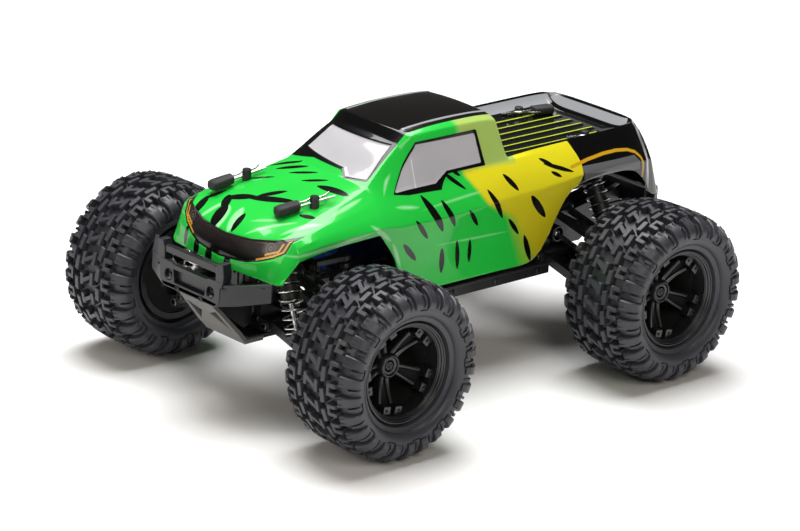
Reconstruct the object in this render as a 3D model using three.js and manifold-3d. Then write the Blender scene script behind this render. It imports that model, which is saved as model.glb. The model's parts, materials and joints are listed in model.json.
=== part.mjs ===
// Toy radio-controlled monster truck, 1:16 class: a lexan body on a plastic chassis with double-wishbone
// suspension at four corners, steered front wheels and one motor driving a centre shaft.
// Millimetres. +X is the truck's left side, -Y its front, +Z up. Pieces are drawn from a point on the
// ground under the middle of the wheelbase; the whole truck is then moved so that the origin is on the
// ground under the middle of its length.
import * as THREE from 'three';
import { mergeVertices } from 'three/addons/utils/BufferGeometryUtils.js';
import ManifoldModule from 'manifold-3d';

const manifold = await ManifoldModule();
manifold.setup();

// Driving dimensions
const WHEELBASE = 186;
const MIDDLE_OF_LENGTH = 8.5;    // this far behind the middle of the wheelbase
const AXLE_Y = WHEELBASE / 2;
const WHEEL_X = 86;              // middle plane of each tyre
const AXLE_Z = 45;
const TYRE_RADIUS = 45;
const TYRE_HALF_WIDTH = 25;
const RIM_BARREL_RADIUS = 22.3;
const RIM_LIP_RADIUS = 25.3;
const GAP = 0.3;                 // between pieces that rest on or run in each other
const WHEEL_SEGMENTS = 20;

// Suspension: every link of a corner is the same vector, so the hub moves without tilting.
const ARM_SPAN = 41.9;           // inner pin to outer pin, along X
const ARM_DROP = 9.7;            // how far the outer pin hangs below the inner one
const PIN_X = 15;
const LOWER_PIN_Z = 44.3;
const UPPER_PIN_Z = 68.7;
const KINGPIN_X = PIN_X + ARM_SPAN;
const OUTER_LOWER_Z = LOWER_PIN_Z - ARM_DROP;
const OUTER_UPPER_Z = UPPER_PIN_Z - ARM_DROP;
const OUTDRIVE_Z = AXLE_Z + ARM_DROP;
const PIN_RADIUS = 1.5;
const PIN_BORE = 1.8;
const FORK_Y = 7.8;              // the lower arm's fork tines stand outside this
const SHOCK_Y = 14.5;            // shocks stand this far beyond the axle line
const SPRING_RADIUS = 5.9;       // middle of the wire
const SPRING_WIRE = 0.6;         // half the wire's thickness
const SPRING_TURNS = 7;
const FRONT_SHOCK = { upper: [24, 91.5], lower: [45, 42] };
const REAR_SHOCK = { upper: [20, 92], lower: [47, 45] };

// Steering
const TIE_Y = 17;                // tie rods run this far behind the front axle
const STUD_OFFSET = 0.6;         // halves the sideways error of a stud that moves on an arc
const STUD_Z = 54.6;
const BALL_RADIUS = 2.2;
const LINK_Z = 60.8;             // top of the sliding steering link
const HORN_X = 9.75;
const HORN_REACH = 17;

// Drive train
const SHAFT_Z = 55.5;
const GEAR_MODULE = 0.8;
const SPUR_TEETH = 34;
const PINION_TEETH = 11;
const MOTOR_RADIUS = 13.85;
const MOTOR_RISE = 7.2;          // motor axis above the centre shaft
const GEAR_CENTRES = GEAR_MODULE * (SPUR_TEETH + PINION_TEETH) / 2;
const MOTOR_X = Math.sqrt(GEAR_CENTRES ** 2 - MOTOR_RISE ** 2);
const GEAR_Y = 62;

// Chassis and body
const FLOOR_TOP = 39.5;
const FLOOR_BOTTOM = 37;
const TRAY_TOP = 45;
const BATTERY = [-30, -11, -36, 32];          // x and y limits
const CONTROLLER = [11, 29, -29, 3];
const SHELL_THICKNESS = 1.2;
// Body posts: out is the distance beyond the axle line.
const FRONT_POST = { x: 25.6, out: -6.6, top: 110.5 };
const REAR_POST = { x: 24.6, out: 6.2, top: 112.5 };

const paint = (color, roughness, metalness = 0) =>
  new THREE.MeshStandardMaterial({ color, roughness, metalness });
const materials = {
  rubber: paint(0x2b3038, 0.85),
  rim: paint(0x101114, 0.45),
  steel: paint(0xb9bcc0, 0.35, 1),
  black: paint(0x1d1f22, 0.55),
  bumper: paint(0x2c2f33, 0.6),
  skid: paint(0xa9acb0, 0.5),
  shell: paint(0x62c81e, 0.2),
  motor: paint(0x8d9096, 0.4, 1),
  brass: paint(0xb08d4a, 0.4, 1),
  nylon: paint(0x2a2c30, 0.5),
  battery: paint(0x2f5fb0, 0.5),
  damper: paint(0x17181b, 0.4),
};

// A closed three.js geometry as a solid that can be joined and cut.
function toSolid(geometry) {
  const bare = new THREE.BufferGeometry();
  bare.setAttribute('position', geometry.getAttribute('position'));
  bare.setIndex(geometry.index);
  const merged = mergeVertices(bare, 1e-4);
  const triangles = [];
  for (let i = 0; i < merged.index.count; i += 3) {
    const [a, b, c] = [0, 1, 2].map((k) => merged.index.getX(i + k));
    if (a !== b && b !== c && a !== c) triangles.push(a, b, c);
  }
  return new manifold.Manifold(new manifold.Mesh({
    numProp: 3,
    vertProperties: Float32Array.from(merged.getAttribute('position').array),
    triVerts: Uint32Array.from(triangles),
  }));
}

function toGeometry(solid) {
  const mesh = solid.getMesh();
  const geometry = new THREE.BufferGeometry();
  geometry.setAttribute('position', new THREE.BufferAttribute(Float32Array.from(mesh.vertProperties), 3));
  geometry.setIndex(new THREE.BufferAttribute(Uint32Array.from(mesh.triVerts), 1));
  geometry.computeVertexNormals();
  return geometry;
}

const join = (...solids) => solids.reduce((whole, next) => whole.add(next));
const cut = (solid, ...cutters) => cutters.reduce((whole, next) => whole.subtract(next), solid);

function block(x0, x1, y0, y1, z0, z1) {
  const box = new THREE.BoxGeometry(x1 - x0, y1 - y0, z1 - z0);
  return toSolid(box.translate((x0 + x1) / 2, (y0 + y1) / 2, (z0 + z1) / 2));
}

function rodBetween(radius, from, to, segments = 8) {
  const start = new THREE.Vector3(...from);
  const along = new THREE.Vector3(...to).sub(start);
  const rod = new THREE.CylinderGeometry(radius, radius, along.length(), segments);
  rod.translate(0, along.length() / 2, 0);
  const turn = new THREE.Quaternion().setFromUnitVectors(
    new THREE.Vector3(0, 1, 0), along.clone().normalize());
  return toSolid(rod.applyQuaternion(turn).translate(start.x, start.y, start.z));
}

const rodX = (radius, x0, x1, y, z, segments) => rodBetween(radius, [x0, y, z], [x1, y, z], segments);
const rodY = (radius, y0, y1, x, z, segments) => rodBetween(radius, [x, y0, z], [x, y1, z], segments);
const rodZ = (radius, z0, z1, x, y, segments) => rodBetween(radius, [x, y, z0], [x, y, z1], segments);

function ball(radius, x, y, z) {
  return toSolid(new THREE.SphereGeometry(radius, 8, 6).translate(x, y, z));
}

function extrude(points, depth) {
  const outline = new THREE.Shape(points.map(([a, b]) => new THREE.Vector2(a, b)));
  return new THREE.ExtrudeGeometry(outline, { depth, bevelEnabled: false });
}

// Flat outlines made thick: named by the plane that the outline is drawn in.
const plateXY = (points, z0, z1) => toSolid(extrude(points, z1 - z0).translate(0, 0, z0));
const plateXZ = (points, y0, y1) => {
  const upright = extrude(points, y1 - y0).rotateX(Math.PI / 2);
  return toSolid(upright.translate(0, y1, 0));
};
const plateYZ = (points, x0, x1) =>
  toSolid(extrude(points, x1 - x0).rotateX(Math.PI / 2).rotateZ(Math.PI / 2).translate(x0, 0, 0));

const mirrored = (points) => [...points, ...points.map(([a, b]) => [-a, b]).reverse()];

// A profile of [radius, x] points turned round the X axis.
function turned(profile, segments) {
  const points = profile.map(([radius, x]) => new THREE.Vector2(radius, x));
  return toSolid(new THREE.LatheGeometry(points, segments).rotateZ(-Math.PI / 2));
}

function addPart(group, name, solid, material) {
  const mesh = new THREE.Mesh(toGeometry(solid), material);
  mesh.name = name;
  group.add(mesh);
  return mesh;
}

// Wheel

function tyre() {
  const w = TYRE_HALF_WIDTH;
  const r = TYRE_RADIUS;
  const bead = RIM_BARREL_RADIUS + GAP;
  const outside = [[bead, -15.4], [25.9, -16.4], [29, -22], [36, -w], [r, -w + 6], [r, w - 6],
    [36, w], [29, 22], [25.9, 16.4], [bead, 15.4]];
  const inside = [[bead, 12.5], [38.5, 18], [38.5, -18], [bead, -12.5]];
  return turned([...outside, ...inside, outside[0]], WHEEL_SEGMENTS);
}

function rim() {
  const barrel = turned([
    [RIM_LIP_RADIUS, 18.4], [RIM_LIP_RADIUS, 16.9], [RIM_BARREL_RADIUS, 15.9], [RIM_BARREL_RADIUS, -15.9],
    [24.5, -16.9], [24.5, -19], [20.6, -19], [20.6, 12], [23, 18.4], [RIM_LIP_RADIUS, 18.4],
  ].reverse(), WHEEL_SEGMENTS);
  const hub = rodX(7.5, -2.2, 6, 0, 0, 12);
  const cutters = [rodX(2.8, -4, 8, 0, 0)];
  for (let spoke = 0; spoke < 5; spoke += 1) {
    const turn = spoke * 2 * Math.PI / 5;
    const at = (radius, angle) => [radius * Math.cos(turn + angle), radius * Math.sin(turn + angle)];
    cutters.push(plateYZ([at(9, 0.45), at(19.2, 0.36), at(19.2, 0.9), at(9, 0.81)], 0, 8));
    cutters.push(plateYZ([at(9.5, -0.08), at(18.5, -0.08), at(18.5, 0.08), at(9.5, 0.08)], 0, 8));
  }
  const disc = rodX(21.2, 2, 6, 0, 0, WHEEL_SEGMENTS);
  return cut(join(barrel, hub, disc), ...cutters);
}

// Stub axle with its drive cup, wheel hex and lock nut, about the axle line.
function axle() {
  const shaft = rodX(2.5, 60.2, 96.6, 0, 0);
  const cup = cut(rodX(3.6, 55.4, 61.2, 0, 0, 12), rodX(2.7, 55, 60.1, 0, 0, 12));
  const hex = rodX(6, 76, 83.5, 0, 0, 6);
  const nut = rodX(4, 92.3, 96.3, 0, 0, 6);
  return join(shaft, cup, hex, nut);
}

function halfShaft() {
  const inner = [PIN_X, 0, OUTDRIVE_Z];
  const outer = [KINGPIN_X, 0, AXLE_Z];
  return join(rodBetween(1.5, inner, outer), ball(BALL_RADIUS, ...inner), ball(BALL_RADIUS, ...outer));
}

// Suspension: the left corner, with +Y pointing away from the middle of the truck.

const armZ = (x, innerZ) => innerZ - ARM_DROP * (x - PIN_X) / ARM_SPAN;

// An arm's body between two heights measured from its own centre line, seen from the side.
function armBody(outline, innerZ, halfThickness) {
  const slope = plateXZ([
    [PIN_X, innerZ - halfThickness], [KINGPIN_X, innerZ - ARM_DROP - halfThickness],
    [KINGPIN_X, innerZ - ARM_DROP + halfThickness], [PIN_X, innerZ + halfThickness],
  ], -20, 12);
  return plateXY(outline, 0, 100).intersect(slope);
}

function lowerArm(shock) {
  const body = armBody([
    [PIN_X, -10], [KINGPIN_X, -10.8], [KINGPIN_X, -FORK_Y], [43, -FORK_Y], [43, FORK_Y],
    [KINGPIN_X, FORK_Y], [KINGPIN_X, 10.8], [PIN_X, 10],
  ], LOWER_PIN_Z, 2.6);
  const windows = [
    plateXY([[20, -7.5], [39.5, -7.5], [20, 4]], 20, 80),
    plateXY([[23, 7.5], [40.5, 7.5], [40.5, -4.5]], 20, 80),
  ];
  const inner = cut(rodY(3.2, -10, 10, PIN_X, LOWER_PIN_Z), rodY(PIN_BORE, -11, 11, PIN_X, LOWER_PIN_Z));
  const keepClear = rodY(PIN_BORE, -11, 11, PIN_X, LOWER_PIN_Z);
  const tines = [-1, 1].map((side) =>
    rodY(3.2, side * FORK_Y, side * 10.8, KINGPIN_X, OUTER_LOWER_Z));
  const pin = rodY(PIN_RADIUS, -11.6, 11.6, KINGPIN_X, OUTER_LOWER_Z);
  const [eyeX, eyeZ] = shock.lower;
  const tab = join(
    rodY(3.2, FORK_Y, 10.8, eyeX, eyeZ),
    block(eyeX - 3, eyeX + 3, FORK_Y, 10.8, armZ(eyeX, LOWER_PIN_Z) - 1, eyeZ),
    rodY(1.4, 10, SHOCK_Y + 3, eyeX, eyeZ),
  );
  return join(cut(body, keepClear, ...windows), inner, ...tines, pin, tab);
}

function upperArm() {
  const body = armBody([
    [PIN_X, -6], [48, -6.3], [KINGPIN_X, -6.3], [KINGPIN_X, -3.8], [51, -3.8], [51, 3.8],
    [KINGPIN_X, 3.8], [KINGPIN_X, 6.3], [48, 6.3], [PIN_X, 6],
  ], UPPER_PIN_Z, 1.8);
  const window = plateXY([[21, -3.4], [46, -3.4], [46, 3.4], [21, 3.4]], 20, 90);
  const keepClear = rodY(PIN_BORE, -11, 11, PIN_X, UPPER_PIN_Z);
  const inner = cut(rodY(3.2, -6, 6, PIN_X, UPPER_PIN_Z), keepClear);
  const tines = [-1, 1].map((side) => rodY(3, side * 3.8, side * 6.3, KINGPIN_X, OUTER_UPPER_Z));
  const pin = rodY(PIN_RADIUS, -6, 6, KINGPIN_X, OUTER_UPPER_Z);
  return join(cut(body, keepClear, window), inner, ...tines, pin);
}

// The lugs that the arms' outer pins run in, common to front and rear carriers.
function carrierLugs() {
  return join(
    rodY(3.2, -FORK_Y + GAP, FORK_Y - GAP, KINGPIN_X, OUTER_LOWER_Z),
    rodY(3.2, -3.5, 3.5, KINGPIN_X, OUTER_UPPER_Z),
    block(54, 60, -3.5, 3.5, 52, OUTER_UPPER_Z),
  );
}

const lugBores = () => [
  rodY(PIN_BORE, -12, 12, KINGPIN_X, OUTER_LOWER_Z),
  rodY(PIN_BORE, -12, 12, KINGPIN_X, OUTER_UPPER_Z),
];

// Front carrier: a C that holds the steering knuckle between two kingpins.
function frontCarrier() {
  const spine = cut(block(46.5, 49.5, -6.5, 6.5, 36.3, 53.7), block(45, 51, -3.2, 3.2, 40.2, 50.8));
  const bottom = block(46.5, 61, -6.5, 6.5, 36.3, 38.6);
  const top = block(46.5, 61, -6.5, 6.5, 51.4, 53.7);
  const kingpins = [
    rodZ(PIN_RADIUS, 38, 40.8, KINGPIN_X, 0),
    rodZ(PIN_RADIUS, 49.2, 52, KINGPIN_X, 0),
  ];
  return cut(join(spine, bottom, top, carrierLugs(), ...kingpins), ...lugBores());
}

function rearCarrier() {
  const body = block(52, 62, -6, 6, 36, 54);
  const bearing = rodX(7, 60, 66, 0, AXLE_Z, 12);
  return cut(join(body, bearing, carrierLugs()), ...lugBores(),
    rodX(3.9, 50, 68, 0, AXLE_Z, 12));
}

function knuckle() {
  const body = block(52.6, 62, -5.8, 5.8, 39, 51);
  const bearing = rodX(6, 61, 66, 0, AXLE_Z, 12);
  const arm = block(54.4, 59.4, -TIE_Y - 2.5, -5, 47.6, 51);
  const studY = -TIE_Y - STUD_OFFSET;
  const stud = join(rodZ(1.2, 50, STUD_Z, KINGPIN_X, studY), ball(BALL_RADIUS, KINGPIN_X, studY, STUD_Z));
  return cut(join(body, bearing, arm, stud), rodX(3.9, 50, 68, 0, AXLE_Z, 12),
    rodZ(PIN_BORE, 38, 52, KINGPIN_X, 0));
}

// Shock absorber, hanging from its upper eye at the origin down its own -Z.

const shockLength = ({ upper, lower }) => Math.hypot(lower[0] - upper[0], upper[1] - lower[1]);
const shockLean = ({ upper, lower }) => Math.atan2(lower[0] - upper[0], upper[1] - lower[1]);

function shockBody() {
  const eye = rodY(3.2, -2.3, 2.3, 0, 0);
  const neck = rodZ(2.4, -6, 0, 0, 0);
  const cap = rodZ(6, -9.5, -4.8, 0, 0, 12);
  const barrel = rodZ(4.7, -31, -9, 0, 0, 12);
  const bore = rodZ(1.9, -32, -7, 0, 0);
  return cut(join(eye, neck, cap, barrel), rodY(PIN_BORE, -3, 3, 0, 0), bore);
}

function shockRod(length) {
  const eye = rodY(3.4, -2.3, 2.3, 0, -length, 12);
  const seat = rodZ(6.6, -length + 5.6, -length + 7.4, 0, 0, 12);
  const neck = rodZ(2.4, -length + 2.4, -length + 6, 0, 0);
  const rod = rodZ(1.5, -length + 3, -length + 34, 0, 0);
  return cut(join(eye, seat, neck, rod), rodY(2.2, -3, 3, 0, -length));
}

class Helix extends THREE.Curve {
  constructor(radius, bottom, top, turns) {
    super();
    Object.assign(this, { radius, bottom, top, turns });
  }

  getPoint(t, target = new THREE.Vector3()) {
    const angle = t * this.turns * 2 * Math.PI;
    const z = this.bottom + (this.top - this.bottom) * t;
    return target.set(this.radius * Math.cos(angle), this.radius * Math.sin(angle), z);
  }
}

function spring(length) {
  const square = [[SPRING_WIRE, 0], [0, SPRING_WIRE], [-SPRING_WIRE, 0], [0, -SPRING_WIRE]];
  const wire = new THREE.Shape(square.map(([x, y]) => new THREE.Vector2(x, y)));
  const extrudePath = new Helix(SPRING_RADIUS, -length + 8.5, -10.6, SPRING_TURNS);
  const steps = SPRING_TURNS * 8;
  return toSolid(new THREE.ExtrudeGeometry(wire, { steps, extrudePath, bevelEnabled: false }));
}

// One corner of the truck: left = +1 or -1, end = -1 at the front or +1 at the rear.
function corner(prefix, left, end, shock) {
  const group = new THREE.Group();
  group.position.y = end * AXLE_Y;
  group.scale.set(left, end, 1);
  const add = (name, solid, material) => addPart(group, `${prefix}_${name}`, solid, material);

  add('tyre', tyre(), materials.rubber).position.set(WHEEL_X, 0, AXLE_Z);
  add('rim', rim(), materials.rim).position.set(WHEEL_X, 0, AXLE_Z);
  add('axle', axle(), materials.steel).position.z = AXLE_Z;
  add('half_shaft', halfShaft(), materials.steel);
  add('lower_arm', lowerArm(shock), materials.black);
  add('upper_arm', upperArm(), materials.black);
  add('hub_carrier', end < 0 ? frontCarrier() : rearCarrier(), materials.black);
  if (end < 0) add('steering_knuckle', knuckle(), materials.black);

  const strut = new THREE.Group();
  strut.position.set(shock.upper[0], SHOCK_Y, shock.upper[1]);
  strut.rotation.y = -shockLean(shock);
  addPart(strut, `${prefix}_shock_body`, shockBody(), materials.damper);
  addPart(strut, `${prefix}_shock_rod`, shockRod(shockLength(shock)), materials.damper);
  addPart(strut, `${prefix}_spring`, spring(shockLength(shock)), materials.steel);
  group.add(strut);
  return group;
}

// Bulkhead: gear case, arm pins, outdrive cups, shock tower and body posts. +Y points away from the
// middle of the truck.
function bulkhead(shock, post) {
  let solid = block(-11.5, 11.5, -12.8, 12.8, FLOOR_TOP + GAP, 72.5);
  solid = cut(solid, rodY(2.6, -13.5, -8, 0, SHAFT_Z, 12));
  for (const side of [-1, 1]) {
    for (const [z, y] of [[LOWER_PIN_Z, 10.3], [UPPER_PIN_Z, 6.3]]) {
      for (const end of [-1, 1]) {
        const [y0, y1] = end > 0 ? [y, y + 2.5] : [-y - 2.5, -y];
        solid = join(solid, block(side > 0 ? 8 : -18, side > 0 ? 18 : -8, y0, y1, z - 3, z + 3));
      }
      solid = join(solid, rodY(PIN_RADIUS, -y - 1, y + 1, side * PIN_X, z));
    }
    const cup = cut(rodX(4.4, side * 10, side * 17, 0, OUTDRIVE_Z, 12),
      rodX(3.3, side * 11.8, side * 18, 0, OUTDRIVE_Z, 12));
    solid = join(solid, cup);
    const [eyeX, eyeZ] = shock.upper;
    solid = join(solid, rodY(1.4, 6, SHOCK_Y + 3, side * eyeX, eyeZ));
    const [footY0, footY1] = [Math.min(post.out, 5), Math.max(post.out, 7.4)];
    solid = join(solid, block(side * post.x - 2.6, side * post.x + 2.6, footY0, footY1, 84, 89));
    solid = join(solid, rodZ(2.3, 84, post.top, side * post.x, post.out));
  }
  const towerEdge = mirrored([[10, 70], [12, 78], [17, 84], [28.5, 86], [28.5, 94], [12, 95]]);
  const tower = plateXZ(towerEdge, 4.9, 7.6);
  return join(solid, tower);
}

// Chassis tub: narrow floor, sloped sides with upright guards, trays for the battery and the speed
// controller, and the motor mount plate.
function chassis() {
  const floorEdge = [[13, -114], [13, -62], [20, -52], [20, 64], [13, 72], [13, 114]];
  const floor = plateXY(mirrored(floorEdge), FLOOR_BOTTOM, FLOOR_TOP);
  const sides = [-1, 1].map((side) => {
    const section = [[18, 37], [21, 37], [40, 46], [40, 52], [37.5, 52], [37.5, 48.4], [20, 39.5], [18, 39.5]];
    return plateXZ(section.map(([x, z]) => [side * x, z]), -44, 64);
  });
  const trays = [
    block(BATTERY[0] - 1, BATTERY[1] + 1, BATTERY[2], BATTERY[3], 38, TRAY_TOP),
    block(CONTROLLER[0] - 1, CONTROLLER[1] + 1, CONTROLLER[2], CONTROLLER[3], 38, TRAY_TOP),
  ];
  const motorPlate = cut(
    plateXZ([[-12, 38], [20, 38], [33, 44.6], [33, 64], [24, 76], [8, 76], [-12, 60]], 56.6, 59),
    rodY(3, 55, 61, 0, SHAFT_Z, 12), rodY(6, 55, 61, MOTOR_X, SHAFT_Z + MOTOR_RISE, 12));
  return join(floor, ...sides, ...trays, motorPlate);
}

// A toothed wheel lying round Y, with one tooth centred on the given angle from +X towards +Z.
function gear(teeth, width, boreRadius, toothAngle) {
  const pitchRadius = GEAR_MODULE * teeth / 2;
  const pitch = 2 * Math.PI / teeth;
  const points = [];
  for (let tooth = 0; tooth < teeth; tooth += 1) {
    const centre = toothAngle + tooth * pitch;
    for (const [rise, share] of [[-0.9, -0.31], [0.72, -0.13], [0.72, 0.13], [-0.9, 0.31]]) {
      const radius = pitchRadius + rise;
      const angle = centre + share * pitch;
      points.push([radius * Math.cos(angle), radius * Math.sin(angle)]);
    }
  }
  return cut(plateXZ(points, 0, width), rodY(boreRadius, -1, width + 1, 0, 0, 12));
}

// Body shell: cross-sections from nose to tail. Each has the height of its middle line, then the
// half-section's [x, z] corners: shoulder, belt, waist and sill.
const SHELL_SECTIONS = [
  { y: -126, top: 84.5, side: [[18, 84], [20, 82], [21, 80], [21, 76]] },
  { y: -120, top: 91, side: [[28, 90.5], [36, 89], [40, 85], [40, 74.5]] },
  { y: -112, top: 98.5, side: [[30, 97.5], [41, 95], [44.5, 88], [43, 74]] },
  { y: -86, top: 106.5, side: [[30, 104.5], [38, 101], [45, 93], [43, 72]] },
  { y: -57, top: 111.5, side: [[29, 111], [36, 104], [44, 90], [42, 56]] },
  { y: -34, top: 129, side: [[24.5, 128], [34.5, 106], [44, 90], [42, 55]] },
  { y: -26, top: 134, side: [[27.4, 132.5], [34.5, 106], [44, 90], [42, 55]] },
  { y: 2, top: 135, side: [[28.5, 133.2], [34.5, 107], [44, 90], [42, 55]] },
  { y: 30, top: 134, side: [[28.7, 132.4], [35, 111], [44, 92], [42, 55]] },
  { y: 35, top: 114, side: [[35, 113], [36, 110], [44, 93], [42, 55]] },
  { y: 77, top: 114.5, side: [[35, 113.5], [36.5, 110], [44.5, 96], [42, 60]] },
  { y: 118, top: 115, side: [[34.6, 114.4], [36.5, 110], [44, 96], [41, 70]] },
  { y: 129, top: 115.3, side: [[34.1, 114.8], [36, 108], [41, 94], [38, 75]] },
  { y: 144, top: 80, side: [[33, 79], [35, 78], [36, 77], [36, 74.6]] },
];
const BED = { front: 37, rear: 127, halfWidth: 31, floor: 107.5 };
const FRONT_ARCH = [
  [-120, 60], [-120, 75], [-107, 87.5], [-60, 90.5], [-46.5, 72.5], [-40, 50], [-120, 50],
];
const REAR_ARCH = [[50, 50], [50, 56], [68, 89.5], [77, 94], [118, 95], [134, 75], [134, 50]];

// A closed loft through rings that all have the same number of [x, z] points.
function loft(rings) {
  const count = rings[0].points.length;
  const positions = rings.flatMap(({ y, points }) => points.flatMap(([x, z]) => [x, y, z]));
  const index = [];
  for (let ring = 0; ring + 1 < rings.length; ring += 1) {
    for (let i = 0; i < count; i += 1) {
      const a = ring * count + i;
      const b = ring * count + (i + 1) % count;
      index.push(a, b, b + count, a, b + count, a + count);
    }
  }
  const last = (rings.length - 1) * count;
  for (let i = 1; i + 1 < count; i += 1) {
    index.push(0, i + 1, i);
    index.push(last, last + i, last + i + 1);
  }
  const geometry = new THREE.BufferGeometry();
  geometry.setAttribute('position', new THREE.Float32BufferAttribute(positions, 3));
  geometry.setIndex(index);
  return toSolid(geometry);
}

// Half-section corners as a whole ring, clockwise from the front: over the top and along the bottom.
function ring(y, top, side) {
  return { y, points: [...side.map(([x, z]) => [-x, z]).reverse(), [0, top], ...side] };
}

function bodyShell() {
  const outer = loft(SHELL_SECTIONS.map(({ y, top, side }) => ring(y, top, side)));
  const t = SHELL_THICKNESS;
  const ends = [SHELL_SECTIONS[0].y, SHELL_SECTIONS.at(-1).y];
  const bedUnder = BED.floor - t;
  const inner = loft(SHELL_SECTIONS.map(({ y, top, side }) => {
    const shift = y === ends[0] ? t : y === ends[1] ? -t : y < 0 ? t : -t;
    const underBed = y > BED.front - 3;
    const inset = side.map(([x, z], i) => {
      const height = i === 3 ? 40 : z - t;
      return [x - t, underBed ? Math.min(height, bedUnder) : height];
    });
    return ring(y + shift, underBed ? Math.min(top - t, bedUnder) : top - t, inset);
  }));
  const holes = [-1, 1].flatMap((side) => [
    rodZ(3, 90, 125, side * FRONT_POST.x, -AXLE_Y - FRONT_POST.out),
    rodZ(3, 90, 125, side * REAR_POST.x, AXLE_Y + REAR_POST.out),
  ]);
  const bed = block(-BED.halfWidth, BED.halfWidth, BED.front, BED.rear, BED.floor, 130);
  return cut(outer, inner, bed, plateYZ(FRONT_ARCH, -60, 60), plateYZ(REAR_ARCH, -60, 60), ...holes);
}

function frontBumper() {
  const panel = cut(block(-21, 21, -142, -139.4, 62.5, 74),
    rodY(3, -143, -138, 15.7, 69.4, 12), rodY(3, -143, -138, -15.7, 69.4, 12));
  const hoop = cut(plateXZ(mirrored([[20.4, 63], [24, 83], [21.5, 85.5]]), -142, -138.8),
    plateXZ(mirrored([[17.5, 72], [20, 81]]), -143, -137));
  const wings = [-1, 1].map((side) => {
    const plan = [[20, -142], [34, -138], [45, -127], [45, -124], [33, -134.5], [20, -138.8]];
    const bar = plateXY(plan.map(([x, y]) => [side * x, y]), 60, 90);
    const edge = [[18, 64.5], [34, 68], [45, 70], [45, 79], [36, 80], [18, 80]];
    const face = plateXZ(edge.map(([x, z]) => [side * x, z]),
      -150, -110);
    return bar.intersect(face);
  });
  const stemEdge = [[-113.2, 42], [-137, 66], [-140, 66], [-140, 71], [-120, 66], [-106, 66], [-106, 42]];
  const stem = plateYZ(stemEdge, -8, 8);
  return join(panel, hoop, ...wings, stem);
}

// Skid plate: a sloping plate with two triangular windows under the bumper.
function skidPlate() {
  const side = plateYZ([[-114.6, 37], [-117, 37], [-138.3, 59.5], [-138.3, 62.6], [-114.6, 39.6]], -16, 12);
  const plan = plateXZ(mirrored([[14, 36], [15.5, 50], [11, 64.5]]), -145, -110);
  const windows = [-1, 1].map((s) => plateXZ([[s * 2, 58], [s * 9.5, 58], [s * 9.5, 46]], -150, -110));
  return cut(side.intersect(plan), ...windows);
}

function rearBumper() {
  const face = plateXY(mirrored([[30, 150], [26, 157], [12, 159]]), 62, 73);
  const bar = face.add(block(-26, 26, 147, 152, 62, 73));
  const stem = plateYZ([[106, 44], [118, 44], [150, 62], [150, 71], [130, 66], [106, 66]], -8, 8);
  return join(bar, stem);
}

// Drive train and electrics

function motor() {
  const can = rodY(MOTOR_RADIUS, 18, 56.2, MOTOR_X, SHAFT_Z + MOTOR_RISE, WHEEL_SEGMENTS);
  const boss = rodY(4.5, 56, 58, MOTOR_X, SHAFT_Z + MOTOR_RISE, 12);
  const shaft = rodY(1.15, 57, GEAR_Y + 6, MOTOR_X, SHAFT_Z + MOTOR_RISE);
  const endBell = rodY(5, 15.5, 19, MOTOR_X, SHAFT_Z + MOTOR_RISE, 12);
  return join(can, boss, shaft, endBell);
}

const centreShaft = () => rodY(2, -AXLE_Y + 11, AXLE_Y - 11, 0, SHAFT_Z);

function speedController() {
  const box = block(...CONTROLLER, TRAY_TOP + GAP, 61);
  const fins = [0, 1, 2, 3].map((i) => block(13 + i * 4, 14.5 + i * 4, -25, -1, 60, 66));
  return join(box, ...fins);
}

function steeringServo(hornY) {
  const body = block(HORN_X - 6.4, HORN_X + 6.4, hornY - 6, hornY + 17.5, FLOOR_TOP + GAP, 62.5);
  const ears = block(HORN_X - 6, HORN_X + 6, hornY - 9, hornY + 21, 53, 55.5);
  return join(body, ears, rodZ(4, 62, 65.5, HORN_X, hornY, 12), rodZ(2, 65, 66.8, HORN_X, hornY));
}

// The horn runs forward from the servo's output and drops a pin into the link's slot.
function servoHorn(hornY) {
  const pinY = hornY - HORN_REACH;
  const [bottom, top] = [67.1, 69.4];
  const edge = [[-3.4, hornY + 2], [-2.2, pinY - 2], [2.2, pinY - 2], [3.4, hornY + 2]];
  const arm = plateXY(edge.map(([x, y]) => [HORN_X + x, y]), bottom, top);
  return join(arm, rodZ(4, bottom, top, HORN_X, hornY, 12), rodZ(1.3, LINK_Z - 2.2, 68, HORN_X, pinY));
}

function steeringLink(linkY, slotY) {
  const bar = block(-19, 19, linkY - 3, linkY + 3, LINK_Z - 2.8, LINK_Z);
  const tab = block(HORN_X - 4.2, HORN_X + 4.2, linkY, slotY + 4.4, LINK_Z - 2.8, LINK_Z);
  const slot = block(HORN_X - 1.7, HORN_X + 1.7, slotY - 2, slotY + 3, LINK_Z - 4, LINK_Z + 1);
  const studs = [-1, 1].map((side) => join(
    rodZ(1.2, LINK_Z - 1, STUD_Z + ARM_DROP, side * PIN_X, linkY),
    ball(BALL_RADIUS, side * PIN_X, linkY, STUD_Z + ARM_DROP)));
  return cut(join(bar, tab, ...studs), slot);
}

function tieRod(side, linkY) {
  const ends = [[side * PIN_X, linkY, STUD_Z + ARM_DROP], [side * KINGPIN_X, linkY, STUD_Z]];
  const rings = ends.map(([x, y, z]) => rodZ(3.9, z - 1.5, z + 1.5, x, y, 12));
  const bores = ends.map(([x, y, z]) => rodZ(2.87, z - 2.5, z + 2.5, x, y, 12));
  return cut(join(rodBetween(1.4, ...ends), ...rings), ...bores);
}

// The whole truck
const truck = new THREE.Group();
truck.position.y = -MIDDLE_OF_LENGTH;
for (const [side, left] of [['left', 1], ['right', -1]]) {
  truck.add(corner(`front_${side}`, left, -1, FRONT_SHOCK));
  truck.add(corner(`rear_${side}`, left, 1, REAR_SHOCK));
}

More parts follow.
